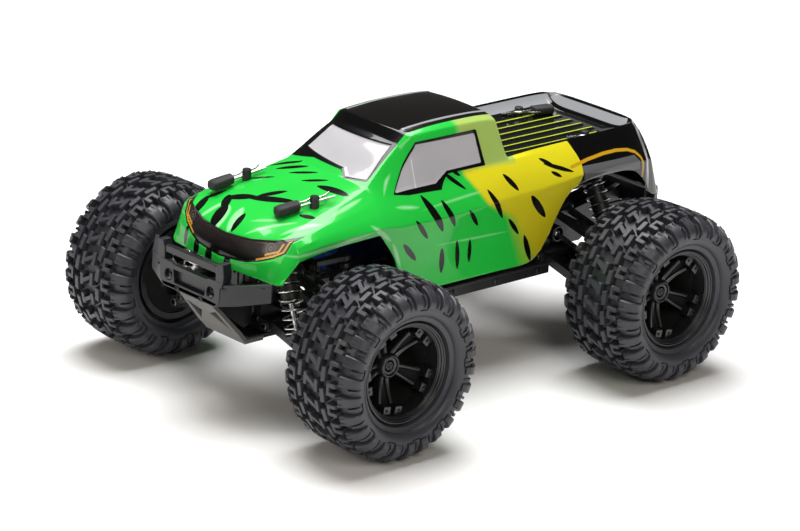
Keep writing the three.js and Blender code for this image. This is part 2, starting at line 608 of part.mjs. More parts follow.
addPart(truck, 'chassis', chassis(), materials.black);
const frontBulkhead = bulkhead(FRONT_SHOCK, FRONT_POST);
const frontFrame = addPart(truck, 'front_bulkhead', frontBulkhead, materials.black);
frontFrame.position.y = -AXLE_Y;
frontFrame.scale.y = -1;
const rearBulkhead = bulkhead(REAR_SHOCK, REAR_POST);
addPart(truck, 'rear_bulkhead', rearBulkhead, materials.black).position.y = AXLE_Y;
addPart(truck, 'body_shell', bodyShell(), materials.shell);
addPart(truck, 'front_bumper', frontBumper(), materials.bumper);
addPart(truck, 'skid_plate', skidPlate(), materials.skid);
addPart(truck, 'rear_bumper', rearBumper(), materials.bumper);

addPart(truck, 'motor', motor(), materials.motor);
addPart(truck, 'centre_shaft', centreShaft(), materials.steel);
const gearLine = Math.atan2(MOTOR_RISE, MOTOR_X);
const spur = addPart(truck, 'spur_gear', gear(SPUR_TEETH, 5, 2.3, gearLine), materials.nylon);
spur.position.set(0, GEAR_Y, SHAFT_Z);
const pinionGap = gearLine + Math.PI + Math.PI / PINION_TEETH;
const pinion = addPart(truck, 'pinion', gear(PINION_TEETH, 5, 1.45, pinionGap), materials.brass);
pinion.position.set(MOTOR_X, GEAR_Y, SHAFT_Z + MOTOR_RISE);

addPart(truck, 'battery', block(...BATTERY, TRAY_TOP + GAP, 82), materials.battery);
addPart(truck, 'speed_controller', speedController(), materials.black);
const linkY = -AXLE_Y + TIE_Y;
const slotY = linkY + 7.5;
const hornY = slotY + HORN_REACH;
addPart(truck, 'steering_servo', steeringServo(hornY), materials.black);
addPart(truck, 'servo_horn', servoHorn(hornY), materials.nylon);
addPart(truck, 'steering_link', steeringLink(linkY, slotY), materials.nylon);
addPart(truck, 'tie_rod_left', tieRod(1, linkY), materials.black);
addPart(truck, 'tie_rod_right', tieRod(-1, linkY), materials.black);

export default truck;
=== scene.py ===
"""Looks of the radio-controlled monster truck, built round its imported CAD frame.

Lengths in this script are millimetres along the frame's axes (+X truck's left, -Y front, +Z up), from the
ground under the middle of the wheelbase. They become metres in the frame when a mesh is made."""

import json
import math

import bmesh
import bpy
import numpy as np
from mathutils import Matrix, Vector


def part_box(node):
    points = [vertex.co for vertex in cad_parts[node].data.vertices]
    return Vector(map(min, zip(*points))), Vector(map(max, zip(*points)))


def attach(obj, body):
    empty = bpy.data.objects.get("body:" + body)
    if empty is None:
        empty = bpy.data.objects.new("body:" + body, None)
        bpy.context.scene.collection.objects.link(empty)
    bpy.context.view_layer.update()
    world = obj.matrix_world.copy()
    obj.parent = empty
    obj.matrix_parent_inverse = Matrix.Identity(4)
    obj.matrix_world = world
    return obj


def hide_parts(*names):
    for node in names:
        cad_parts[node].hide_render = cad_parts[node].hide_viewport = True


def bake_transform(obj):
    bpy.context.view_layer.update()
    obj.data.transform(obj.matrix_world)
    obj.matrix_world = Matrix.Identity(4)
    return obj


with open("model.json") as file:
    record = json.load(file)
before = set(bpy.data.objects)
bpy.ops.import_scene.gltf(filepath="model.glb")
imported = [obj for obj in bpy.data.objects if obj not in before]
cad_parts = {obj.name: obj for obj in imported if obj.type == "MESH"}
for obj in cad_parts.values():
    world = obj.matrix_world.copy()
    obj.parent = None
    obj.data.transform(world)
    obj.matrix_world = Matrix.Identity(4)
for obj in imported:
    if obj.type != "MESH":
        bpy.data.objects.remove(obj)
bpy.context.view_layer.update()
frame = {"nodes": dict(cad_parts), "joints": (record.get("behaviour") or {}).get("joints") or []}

MM = 0.001


def wheelbase_middle():
    """The frame's place for the point that this script measures from."""
    ends = [(low.y + high.y) / 2 for low, high in (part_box("front_left_tyre"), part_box("rear_left_tyre"))]
    return Vector((0, (ends[0] + ends[1]) / 2 / MM, 0))


ORIGIN = wheelbase_middle()


def box_mm(node):
    low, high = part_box(node)
    return low / MM - ORIGIN, high / MM - ORIGIN


def middle(node):
    low, high = box_mm(node)
    return (low + high) / 2


WHEEL = middle("front_left_tyre")
WHEEL_X, AXLE_Y, AXLE_Z = WHEEL.x, -WHEEL.y, WHEEL.z
JOINTS = {joint["name"]: joint for joint in frame["joints"]}


def joint_mm(name):
    return Vector(JOINTS[name]["pos_m"]) / MM - ORIGIN


LOWER_PIN = joint_mm("front_left_suspension")
UPPER_PIN = joint_mm("front_left_upper_arm_swing")
OUTER_PIN = joint_mm("front_left_carrier_pivot")
DROP = LOWER_PIN.z - OUTER_PIN.z
SPAN = OUTER_PIN.x - LOWER_PIN.x


# ---------------------------------------------------------------- materials

def new_material(name):
    material = bpy.data.materials.new(name)
    material.use_nodes = True
    nodes = material.node_tree.nodes
    nodes.clear()
    out = nodes.new("ShaderNodeOutputMaterial")
    shader = nodes.new("ShaderNodeBsdfPrincipled")
    material.node_tree.links.new(shader.outputs[0], out.inputs[0])
    return material, material.node_tree, shader


def node(tree, kind, inputs=None, **settings):
    """A shader node; inputs maps a socket's name or number to a value or to another node's output."""
    made = tree.nodes.new(kind)
    for key, value in settings.items():
        setattr(made, key, value)
    for key, value in (inputs or {}).items():
        socket = made.inputs[key]
        if isinstance(value, bpy.types.NodeSocket):
            tree.links.new(value, socket)
        else:
            socket.default_value = value
    return made


def math_node(tree, operation, *values, clamp=False):
    made = node(tree, "ShaderNodeMath", dict(enumerate(values)), operation=operation, use_clamp=clamp)
    return made.outputs[0]


def noise(tree, scale, detail=2.0, stretch=(1, 1, 1)):
    place = node(tree, "ShaderNodeTexCoord").outputs["Object"]
    sized = node(tree, "ShaderNodeMapping", {"Vector": place, "Scale": stretch})
    settings = {"Vector": sized.outputs[0], "Scale": scale, "Detail": detail}
    return node(tree, "ShaderNodeTexNoise", settings).outputs[0]


def ramp(tree, value, low, high, to_low=0.0, to_high=1.0):
    made = node(tree, "ShaderNodeMapRange", {0: value, 1: low, 2: high, 3: to_low, 4: to_high})
    return made.outputs[0]


def mix_colour(tree, factor, first, second):
    made = node(tree, "ShaderNodeMix", {0: factor, 6: first, 7: second}, data_type="RGBA")
    return made.outputs[2]


def bump(tree, height, strength, distance):
    settings = {"Height": height, "Strength": strength, "Distance": distance}
    return node(tree, "ShaderNodeBump", settings).outputs[0]


def rgb(red, green, blue):
    return (red, green, blue, 1.0)


def moulded(name, colour, roughness, grain=0.25, grain_size=2600, mottled=0.12, coat=0.0):
    """Moulded plastic or rubber: fine grain, faint mottling of colour and of roughness."""
    material, tree, shader = new_material(name)
    broad = noise(tree, 90, 3)
    fine = noise(tree, grain_size, 2)
    dark = rgb(*(channel * (1 - mottled) for channel in colour))
    light = rgb(*(channel * (1 + mottled) for channel in colour))
    tree.links.new(mix_colour(tree, broad, dark, light), shader.inputs["Base Color"])
    tree.links.new(ramp(tree, broad, 0.3, 0.7, roughness - 0.05, roughness + 0.06),
                   shader.inputs["Roughness"])
    tree.links.new(bump(tree, fine, grain, 0.00006), shader.inputs["Normal"])
    shader.inputs["Coat Weight"].default_value = coat
    shader.inputs["Coat Roughness"].default_value = 0.12
    return material


def metal(name, colour, roughness, stretch=(1, 1, 1)):
    material, tree, shader = new_material(name)
    lines = noise(tree, 700, 3, stretch)
    shader.inputs["Metallic"].default_value = 1.0
    shader.inputs["Base Color"].default_value = rgb(*colour)
    tree.links.new(ramp(tree, lines, 0.3, 0.7, roughness - 0.08, roughness + 0.1),
                   shader.inputs["Roughness"])
    tree.links.new(bump(tree, lines, 0.15, 0.00005), shader.inputs["Normal"])
    return material


RUBBER = moulded("tyre_rubber", (0.034, 0.035, 0.044), 0.44, 0.35, 1500, 0.18)
RIM_BLACK = moulded("rim_black", (0.012, 0.012, 0.014), 0.34, 0.10, 1800, 0.1, 0.2)
# near-black and rough: painted shade, laid inside the rim and in the sidewall grooves where the real wheel is
# dark only from shadow
SHADE_BLACK = moulded("painted_shade_black", (0.002, 0.002, 0.002), 0.95, 0.05, 1800, 0.0)
BLACK = moulded("moulded_black", (0.012, 0.012, 0.014), 0.42, 0.30, 2400)
SLEEVE = moulded("sleeve_rubber", (0.018, 0.018, 0.019), 0.7, 0.3, 1700)
CHARCOAL = moulded("bumper_charcoal", (0.010, 0.011, 0.014), 0.34, 0.35, 2200)
SKID = moulded("skid_grey", (0.13, 0.13, 0.122), 0.5, 0.3, 2200, 0.06)
NYLON = moulded("gear_nylon", (0.03, 0.03, 0.032), 0.45)
SCREW = metal("black_oxide", (0.05, 0.05, 0.055), 0.35)
STEEL = metal("turned_steel", (0.62, 0.62, 0.64), 0.28, (1, 8, 1))
WIRE = metal("bright_wire", (0.50, 0.49, 0.47), 0.25)
SPRING_STEEL = metal("spring_steel", (0.66, 0.65, 0.62), 0.25)
DARK_SPRING = metal("dark_spring", (0.34, 0.34, 0.35), 0.3)
BRASS = metal("pinion_brass", (0.62, 0.45, 0.2), 0.3)
CAN = metal("motor_can", (0.5, 0.5, 0.52), 0.35, (1, 1, 12))
WRAP = moulded("battery_wrap", (0.02, 0.06, 0.30), 0.25, 0.1, 900, 0.08, 0.4)


# ---------------------------------------------------------------- mesh building

class Shape:
    """Collects closed solids, in millimetres, that become one piece."""

    def __init__(self):
        self.points = []
        self.faces = []

    def add(self, points, faces):
        start = len(self.points)
        self.points.extend(tuple(point) for point in points)
        self.faces.extend(tuple(start + i for i in face) for face in faces)
        return self

    def rings(self, rings, closed=False):
        """Joins rings of equal length; open stacks get end caps, closed ones join last to first."""
        count = len(rings[0])
        faces = []
        last = len(rings) if closed else len(rings) - 1
        for r in range(last):
            a = r * count
            b = (r + 1) % len(rings) * count
            for i in range(count):
                j = (i + 1) % count
                faces.append((a + i, a + j, b + j, b + i))
        if not closed:
            faces.append(tuple(range(count)))
            faces.append(tuple((len(rings) - 1) * count + i for i in range(count)))
        return self.add([point for ring in rings for point in ring], faces)

    def block(self, low, high):
        (x0, y0, z0), (x1, y1, z1) = low, high
        ring = lambda z: [(x0, y0, z), (x1, y0, z), (x1, y1, z), (x0, y1, z)]
        return self.rings([ring(z0), ring(z1)])

    def prism(self, outline, axis, start, end):
        """An outline of [a, b] points drawn across an axis ('x', 'y' or 'z') made thick along it."""
        place = {
            "x": lambda a, b, d: (d, a, b),
            "y": lambda a, b, d: (a, d, b),
            "z": lambda a, b, d: (a, b, d),
        }[axis]
        return self.rings([[place(a, b, depth) for a, b in outline] for depth in (start, end)])

    def tube(self, path, radius, segments=12, closed=False):
        """A round bar along a path; radius is one number or one for each point."""
        path = [Vector(point) for point in path]
        radii = [radius] * len(path) if isinstance(radius, (int, float)) else radius
        count = len(path)
        rings = []
        side = None
        for i, point in enumerate(path):
            before = path[(i - 1) % count] if closed or i > 0 else point
            after = path[(i + 1) % count] if closed or i + 1 < count else point
            along = (after - before).normalized()
            if side is None:
                side = along.orthogonal().normalized()
            side = (side - along * side.dot(along)).normalized()
            up = along.cross(side)
            turns = [2 * math.pi * k / segments for k in range(segments)]
            rings.append([point + (side * math.cos(t) + up * math.sin(t)) * radii[i] for t in turns])
        return self.rings(rings, closed)

    def lathe(self, profile, centre, axis="x", segments=48):
        """A closed profile of [radius, along] points turned round an axis through centre."""
        rings = []
        for k in range(segments):
            c, s = math.cos(2 * math.pi * k / segments), math.sin(2 * math.pi * k / segments)
            place = {
                "x": lambda r, a: (centre[0] + a, centre[1] + r * c, centre[2] + r * s),
                "y": lambda r, a: (centre[0] + r * c, centre[1] + a, centre[2] + r * s),
                "z": lambda r, a: (centre[0] + r * c, centre[1] + r * s, centre[2] + a),
            }[axis]
            rings.append([place(r, a) for r, a in profile])
        return self.rings(rings, closed=True)

    def ball(self, centre, radius):
        profile = [(max(radius * math.sin(t), 0.02), radius * math.cos(t))
                   for t in np.linspace(0, math.pi, 13)]
        return self.lathe(profile, centre, "z", 24)

    def moved(self, change):
        self.points = [change(*point) for point in self.points]
        return self

    def merge(self, other):
        return self.add(other.points, other.faces)


def finish_mesh(mesh, smooth_angle):
    work = bmesh.new()
    work.from_mesh(mesh)
    bmesh.ops.remove_doubles(work, verts=work.verts, dist=1e-7)
    bmesh.ops.recalc_face_normals(work, faces=work.faces)
    for edge in work.edges:
        edge.smooth = len(edge.link_faces) == 2 and edge.calc_face_angle(0) < math.radians(smooth_angle)
    for face in work.faces:
        face.smooth = True
    work.to_mesh(mesh)
    work.free()


def piece(name, shape, material, body, bevel=0.0, smooth_angle=35, stands_for=()):
    """Makes the shape's object, gives it a rounded edge and its material, and rides it on a body."""
    mesh = bpy.data.meshes.new(name)
    points = [(Vector(point) + ORIGIN) * MM for point in shape.points]
    mesh.from_pydata(points, [], shape.faces)
    finish_mesh(mesh, smooth_angle)
    made = bpy.data.objects.new(name, mesh)
    bpy.context.collection.objects.link(made)
    made.data.materials.append(material)
    if bevel:
        rounding = made.modifiers.new("edges", "BEVEL")
        rounding.width = bevel * MM
        rounding.segments = 2
        rounding.limit_method = "ANGLE"
        rounding.angle_limit = math.radians(40)
        rounding.harden_normals = True
    if body:
        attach(made, body)
    if stands_for:
        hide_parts(*stands_for)
    return made


def paint_node(cad_node, material):
    """Gives a CAD node that stays in view its finished material."""
    cad = frame["nodes"][cad_node]
    cad = cad if isinstance(cad, bpy.types.Object) else bpy.data.objects[cad_node]
    for slot in cad.material_slots:
        slot.material = material
    if not cad.material_slots:
        cad.data.materials.append(material)


def mirror_pairs(outline):
    """Closes a half outline of [x, b] points with its mirror image."""
    return list(outline) + [(-a, b) for a, b in reversed(outline)]


# ---------------------------------------------------------------- wheels

LUGS = 26                        # tread blocks round a tyre
SPOKE_TURN = 45                  # angle of the first spoke
CROWN_R = 41.3
BEAD_R = 22.9


def crown_radius(x):
    """Radius of the carcass under the tread, lower towards the shoulders."""
    return CROWN_R - 1.8 * (abs(x) / 20) ** 2.4


def shoulder_path(t):
    """[radius, x] from the tread edge (t = 0) over the shoulder and down the sidewall (t = 1)."""
    angle = t * math.radians(105)
    return 36.9 + 3.2 * math.cos(angle) - 2.0 * t, 17.2 + 6.4 * math.sin(angle)


def carcass_profile():
    tread = [(crown_radius(x), x) for x in np.linspace(-17.2, 17.2, 15)]
    right = [shoulder_path(t) for t in np.linspace(0.1, 1, 8)]
    side = [(33.2, 23.4), (30.6, 22.6), (29.2, 21.4), (28.7, 20.2), (27.6, 19.7), (26.6, 19.3),
            (26.1, 17.6), (25.7, 16.6), (BEAD_R, 15.3)]
    half = right + side
    inner = [(BEAD_R, 12.6), (38, 17), (38, -17), (BEAD_R, -12.6)]
    return tread + half + inner + [(r, -x) for r, x in reversed(half)]


def on_tread(x, along, radius):
    angle = along / CROWN_R
    return x, radius * math.cos(angle), radius * math.sin(angle)


def tread_block(shape, outline, at, height, inset=0.4):
    """A block of tread: outline of [x, along] points, standing height above the carcass at angle at."""
    cx = sum(x for x, _ in outline) / len(outline)
    cs = sum(s for _, s in outline) / len(outline)
    size = max(math.hypot(x - cx, s - cs) for x, s in outline)
    rings = []
    for rise, draw in ((-0.8, -0.35), (height - inset * 0.7, 0.0), (height, inset)):
        keep = 1 - draw / size
        points = [(cx + (x - cx) * keep, cs + (s - cs) * keep) for x, s in outline]
        rings.append([on_tread(x, s + at * CROWN_R, crown_radius(x) + rise) for x, s in points])
    shape.rings(rings)


def shoulder_lug(shape, mirror, at, width, height, start=0.0, end=1.0, steps=7):
    """A rib that follows the shoulder from the tread edge down the sidewall, fading as it goes."""
    rings = []
    for t in np.linspace(start, end, steps):
        r, x = shoulder_path(t)
        before, after = shoulder_path(t - 0.02), shoulder_path(t + 0.02)
        along = Vector((after[0] - before[0], after[1] - before[1])).normalized()
        outward = Vector((along.y, -along.x))
        if outward.dot(Vector((1, 0.6))) < 0:
            outward = -outward
        fade = 1 - 0.72 * ((t - start) / (end - start)) ** 1.3
        half = width / 2 * (0.62 + 0.38 * fade)
        ring = []
        for rise, share in ((-0.7, 1.15), (height * fade * 0.8, 1.0), (height * fade, 0.8)):
            rr, xx = r + outward.x * rise, x + outward.y * rise
            ring.append((rr, xx, half * share))
        points = [(mirror * xx, rr, s) for rr, xx, s in ring]
        points += [(mirror * xx, rr, -s) for rr, xx, s in reversed(ring)]
        rings.append([on_tread(xx, s + at * CROWN_R, rr) for xx, rr, s in points])
    shape.rings(rings)


# a sidewall bracket's points: radius, and angle from the bracket's middle in radians
SIDEWALL_BRACKET = [(34.8, -0.07), (33.9, -0.068), (33.0, -0.065), (33.0, 0.065), (33.9, 0.068),
                    (34.8, 0.07)]


def sidewall_groove_shade_shape():
    """Painted shadow of the engraved brackets round each sidewall: thin near-black bars, opening towards the
    lugs.
    """
    curve = [(30.6, 22.6), (33.2, 23.4)] + [shoulder_path(t) for t in np.linspace(1, 0.6, 9)]
    shape = Shape()
    for mirror in (-1, 1):
        for k in range(0, LUGS, 2):
            middle_angle = 2 * math.pi * k / LUGS
            path = []
            for r, turn in SIDEWALL_BRACKET:
                x = np.interp(r, [point[0] for point in curve], [point[1] for point in curve]) + 0.06
                angle = middle_angle + turn
                path.append((mirror * x, r * math.cos(angle), r * math.sin(angle)))
            shape.tube(path, 0.3, 6)
    return shape


def tyre_shape():
    shape = Shape().lathe(carcass_profile(), (0, 0, 0), "x", 104)
    pitch = 2 * math.pi / LUGS
    rect = lambda x0, x1, s0, s1: [(x0, s0), (x1, s0), (x1, s1), (x0, s1)]
    for k in range(LUGS):
        at = k * pitch
        half_on = at + pitch / 2
        for outline in (rect(-5.0, -2.7, -3.7, 2.2), rect(2.7, 5.0, -2.2, 3.7),
                        [(-3.0, -2.6), (3.0, 0.4), (3.0, 2.6), (-3.0, -0.4)]):
            tread_block(shape, outline, at, 3.6)
        for mirror in (-1, 1):
            flip = lambda outline: [(mirror * x, mirror * s) for x, s in outline]
            tread_block(shape, flip([(6.6, -3.9), (9.2, -4.6), (9.8, 1.9), (7.0, 2.8)]), half_on, 3.7)
            for outline in (rect(11.2, 12.8, -2.9, 3.1), rect(12.3, 16.2, -2.9, -0.9),
                            rect(12.3, 16.6, 1.1, 3.1)):
                tread_block(shape, flip(outline), at, 3.8)
            shoulder_lug(shape, mirror, half_on, 5.6, 3.2)
            for offset in (-1.35, 1.35):
                rib = half_on + offset / CROWN_R
                shoulder_lug(shape, mirror, rib, 1.0, 3.8, 0.02, 0.45, 5)
            shoulder_lug(shape, mirror, at - 0.012, 1.5, 1.5, 0.3, 1.0, 5)
    return shape


def spoke_place(turn):
    """Turns spoke coordinates (along the axle, out from the hub, sideways) into wheel coordinates."""
    c, s = math.cos(math.radians(turn)), math.sin(math.radians(turn))
    return lambda x, r, across: (x, r * c - across * s, r * s + across * c)


def spoke_rib(shape, place, side):
    """One of the two raised ribs of a spoke, rising and spreading from the hub to the lip."""
    rings = []
    for t in np.linspace(0, 1, 9):
        r = 5.2 + 16.4 * t
        s = side * (1.6 + 2.7 * t ** 1.2)
        x = 4.6 + 6.2 * t ** 1.8
        half = 1.35 - 0.25 * math.sin(math.pi * t)
        section = [(x - 4.4, s - half), (x - 0.7, s - half), (x, s - half * 0.45),
                   (x, s + half * 0.45), (x - 0.7, s + half), (x - 4.4, s + half)]
        rings.append([place(xx, r, ss) for xx, ss in section])
    return shape.rings(rings)


def rim_shape():
    profile = [(25.3, 16.9), (25.4, 18.0), (25.0, 18.4), (24.4, 18.3), (24.2, 17.7), (23.5, 17.4),
               (23.3, 16.7), (22.6, 16.3), (22.0, 14.0), (21.5, 11.0), (21.3, 7.0), (21.3, -18.6),
               (24.4, -18.9), (24.4, -17.0), (22.2, -15.8), (22.2, 15.8)]
    shape = Shape().lathe(profile, (0, 0, 0), "x", 96)
    hub = [(2.9, -2.2), (6.4, -2.2), (6.4, 4.6), (5.8, 6.6), (5.2, 7.2), (4.6, 7.1), (4.2, 6.2), (2.9, 6.0)]
    shape.lathe(hub, (0, 0, 0), "x", 48)
    for spoke in range(5):
        place = spoke_place(SPOKE_TURN + 72 * spoke)
        for side in (-1, 1):
            spoke_rib(shape, place, side)
            foot = Shape().block((8.4, 17.8, side * 3.7 - 2.2), (13.4, 21.9, side * 3.7 + 2.2))
            shape.merge(foot.moved(place))
            pad = Shape().block((12.6, 20.6, side * 8.6 - 1.5), (15.8, 22.2, side * 8.6 + 1.5))
            shape.merge(pad.moved(place))
            stud = Shape().lathe([(0.01, 0), (0.75, 0), (0.75, 0.5), (0.01, 0.7)],
                                 (13.4, 20.0, side * 3.9), "x", 12)
            shape.merge(stud.moved(place))
    return shape


def rim_shade_shape():
    """Painted shade inside the rim: a thin near-black sleeve, a back wall behind the windows and spoke
    floors, where the real wheel is dark only from shadow.
    """
    profile = [(21.25, 8.0), (21.25, -18.0), (12.0, -18.2), (12.0, -17.6), (20.9, -17.4), (20.9, 8.0)]
    shape = Shape().lathe(profile, (0, 0, 0), "x", 96)
    top = [(2.4, 6.5, -1.6), (2.4, 6.5, 1.6), (7.4, 20.8, 3.6), (7.4, 20.8, -3.6)]
    for spoke in range(5):
        place = spoke_place(SPOKE_TURN + 72 * spoke)
        shape.rings([[place(x - depth, r, t) for x, r, t in top] for depth in (0, 1.6)])
    return shape


def hub_screw_shape():
    """Cap screw in the hub with a cross in its head."""
    shape = Shape().lathe([(0.01, 4.6), (2.3, 4.6), (2.5, 5.0), (2.4, 5.8), (2.0, 6.1), (0.01, 6.1)],
                          (0, 0, 0), "x", 32)
    for turn in (20, 110):
        place = spoke_place(turn)
        for side in (-1, 1):
            bar = Shape().block((6.0, side * 1.1 - 0.7, -0.3), (6.4, side * 1.1 + 0.7, 0.3))
            shape.merge(bar.moved(place))
    return shape


def stub_axle_shape():
    shape = Shape().lathe([(0.01, -25.6), (2.5, -25.6), (2.5, 4.4), (0.01, 4.4)], (0, 0, 0), "x", 24)
    shape.lathe([(2.7, -30.6), (3.4, -30.6), (3.6, -30.2), (3.6, -25.2), (2.4, -24.8), (0.01, -24.8),
                 (0.01, -25.9), (2.7, -25.9)], (0, 0, 0), "x", 32)
    hexagon = [(6 * math.cos(math.radians(60 * k)), 6 * math.sin(math.radians(60 * k))) for k in range(6)]
    return shape.prism(hexagon, "x", -10, -2.6)


def build_wheel(prefix, side, end):
    body = f"{prefix}_wheel"
    place = lambda x, y, z: (side * (WHEEL_X + x), end * AXLE_Y + y, AXLE_Z + z)
    piece(f"{prefix}_lugged_tyre", tyre_shape().moved(place), RUBBER, body,
          smooth_angle=28, stands_for=(f"{prefix}_tyre",))
    # painted shadow of the sidewall's engraved grooves
    piece(f"{prefix}_sidewall_groove_shade", sidewall_groove_shade_shape().moved(place), SHADE_BLACK, body)
    piece(f"{prefix}_spoked_rim", rim_shape().moved(place), RIM_BLACK, body,
          bevel=0.25, stands_for=(f"{prefix}_rim",))
    # painted shade: near-black lining inside the rim
    piece(f"{prefix}_rim_shade", rim_shade_shape().moved(place), SHADE_BLACK, body)
    piece(f"{prefix}_stub_axle", stub_axle_shape().moved(place), STEEL, body,
          bevel=0.2, stands_for=(f"{prefix}_axle",))
    piece(f"{prefix}_hub_screw", hub_screw_shape().moved(place), SCREW, body, bevel=0.12)


# ---------------------------------------------------------------- suspension

SHOCK_EYES = {"front": (45.0, 42.0), "rear": (47.0, 45.0)}     # lower eyes, x and z
SHOCK_BODY_LENGTH = 31
SPRING_TURNS = 9


def arm_frame(pin):
    """Turns arm coordinates (out along the arm, y, up from its middle) into corner coordinates."""
    length = math.hypot(SPAN, DROP)
    c, s = SPAN / length, -DROP / length
    return lambda u, v, w: (pin.x + u * c - w * s, v, pin.z + u * s + w * c)


def bar_between(shape, start, end, width, low, high):
    """A flat bar in an arm's plane from start to end [u, v], with its faces at low and high."""
    a, b = Vector(start), Vector(end)
    across = Vector((-(b - a).y, (b - a).x)).normalized() * width / 2
    outline = [a - across, b - across, b + across, a + across]
    return shape.prism([(p.x, p.y) for p in outline], "z", low, high)


def ring_bush(shape, centre, outer, inner, y0, y1):
    return shape.lathe([(inner, y0), (outer - 0.3, y0), (outer, y0 + 0.3), (outer, y1 - 0.3),
                        (outer - 0.3, y1), (inner, y1)], (centre[0], 0, centre[1]), "y", 32)


def lower_arm_shape(eye):
    shape = Shape()
    length = math.hypot(SPAN, DROP)
    for v in (-1, 1):
        bar_between(shape, (0.5, v * 8.2), (length - 0.6, v * 9.2), 3.2, -2.4, 2.4)
        bar_between(shape, (2.4, v * 6.9), (27.5, -v * 6.9), 2.0, -1.9, 1.5)
    for u in (3.6, 15.5, 27.2):
        bar_between(shape, (u, -8.5), (u, 8.5), 2.4, -2.1, 1.9)
    shape.prism([(3, -8), (27.5, -8.4), (27.5, 8.4), (3, 8)], "z", -2.3, -1.5)
    shape.moved(arm_frame(LOWER_PIN))
    ring_bush(shape, (LOWER_PIN.x, LOWER_PIN.z), 3.2, 1.8, -10, 10)
    for y0, y1 in ((-10.8, -7.8), (7.8, 10.8)):
        ring_bush(shape, (OUTER_PIN.x, OUTER_PIN.z), 3.2, 1.55, y0, y1)
    ring_bush(shape, eye, 3.0, 1.5, 7.8, 10.9)
    arm_z = LOWER_PIN.z - DROP * (eye[0] - LOWER_PIN.x) / SPAN
    shape.prism([(eye[0] - 4.4, arm_z), (eye[0] + 3.6, arm_z - 1), (eye[0] + 2.6, eye[1]),
                 (eye[0] - 2.6, eye[1])],
                "y", 8.0, 10.6)
    return shape


def upper_arm_shape():
    shape = Shape()
    length = math.hypot(SPAN, DROP)
    for v in (-1, 1):
        bar_between(shape, (0.5, v * 4.9), (length - 0.5, v * 5.0), 2.4, -1.7, 1.7)
    for u in (4, 18, 32):
        bar_between(shape, (u, -5), (u, 5), 2.2, -1.5, 1.4)
    bar_between(shape, (5, -4.5), (31, 4.5), 1.6, -1.3, 1.0)
    shape.moved(arm_frame(UPPER_PIN))
    ring_bush(shape, (UPPER_PIN.x, UPPER_PIN.z), 3.1, 1.8, -6, 6)
    outer_z = UPPER_PIN.z - DROP
    for y0, y1 in ((-6.3, -3.8), (3.8, 6.3)):
        ring_bush(shape, (OUTER_PIN.x, outer_z), 3.0, 1.55, y0, y1)
    return shape


def hinge_pin(x, z, y0, y1, radius=1.45):
    """A steel pin along Y with a small head at each end."""
    shape = Shape().tube([(x, y0, z), (x, y1, z)], radius, 20)
    for y in (y0, y1 - 0.6):
        shape.tube([(x, y, z), (x, y + 0.6, z)], radius + 0.55, 20)
    return shape


def button_screw(centre, axis, radius=2.2, height=1.3):
    """Low domed screw head with a hex socket, its flat side at centre."""
    direction = 1 if axis[0] in "xyz" else -1
    letter = axis[-1]
    dome = [(radius * math.cos(a), direction * height * math.sin(a))
            for a in np.linspace(0, math.radians(62), 5)]
    profile = [(0.01, -0.2 * direction)] + [(radius, -0.2 * direction)] + dome
    socket = radius * 0.45
    profile += [(socket, direction * height * 0.9), (socket, direction * height * 0.35),
                (0.01, direction * height * 0.35)]
    return Shape().lathe(profile, centre, letter, 24)


def strut_frame(top, eye, y):
    """Turns strut coordinates (out, y, up, from the upper eye) into the corner's coordinates."""
    lean = math.atan2(eye[0] - top.x, top.z - eye[1])
    c, s = math.cos(lean), math.sin(lean)
    return lambda a, b, d: (top.x + a * c - d * s, y + b, top.z + a * s + d * c)


def shock_body_shape():
    shape = Shape()
    ring_bush(shape, (0, 0), 3.3, 1.7, -2.3, 2.3)
    shape.lathe([(1.9, -3.0), (2.5, -3.0), (3.2, -4.6), (5.7, -5.0), (6.0, -5.5), (6.0, -9.0), (5.6, -9.5),
                 (5.0, -10.2), (1.9, -10.2)], (0, 0, 0), "z", 40)
    ridges = [(1.9, -10.0)]
    for k in range(14):
        z = -10.4 - k * 1.45
        ridges += [(4.75, z), (4.75, z - 0.7), (4.4, z - 0.85), (4.4, z - 1.3)]
    ridges += [(4.4, -SHOCK_BODY_LENGTH + 0.4), (4.0, -SHOCK_BODY_LENGTH), (1.9, -SHOCK_BODY_LENGTH)]
    return shape.lathe(ridges, (0, 0, 0), "z", 40)


def shock_foot_shape(length):
    shape = Shape()
    ring_bush(shape, (0, -length), 3.5, 2.1, -2.3, 2.3)
    base = -length
    shape.lathe([(0.01, base + 2.9), (2.3, base + 2.9), (2.6, base + 5.2), (6.3, base + 5.6),
                 (6.6, base + 6.0), (6.6, base + 7.2), (6.3, base + 7.6), (4.6, base + 7.8),
                 (4.2, base + 9.2), (1.6, base + 9.4), (0.01, base + 9.4)], (0, 0, 0), "z", 40)
    return shape


def coil_shape(low, high, radius=5.75, wire=0.52):
    """Compression spring with closed ends."""
    path = []
    steps = SPRING_TURNS * 28
    for k in range(steps + 1):
        t = k / steps
        angle = 2 * math.pi * SPRING_TURNS * t
        ease = np.interp(t, [0, 0.1, 0.9, 1], [0, 0.035, 0.965, 1])
        rise = low + wire + (high - low - 2 * wire) * ease
        path.append((radius * math.cos(angle), radius * math.sin(angle), rise))
    return Shape().tube(path, wire, 9)


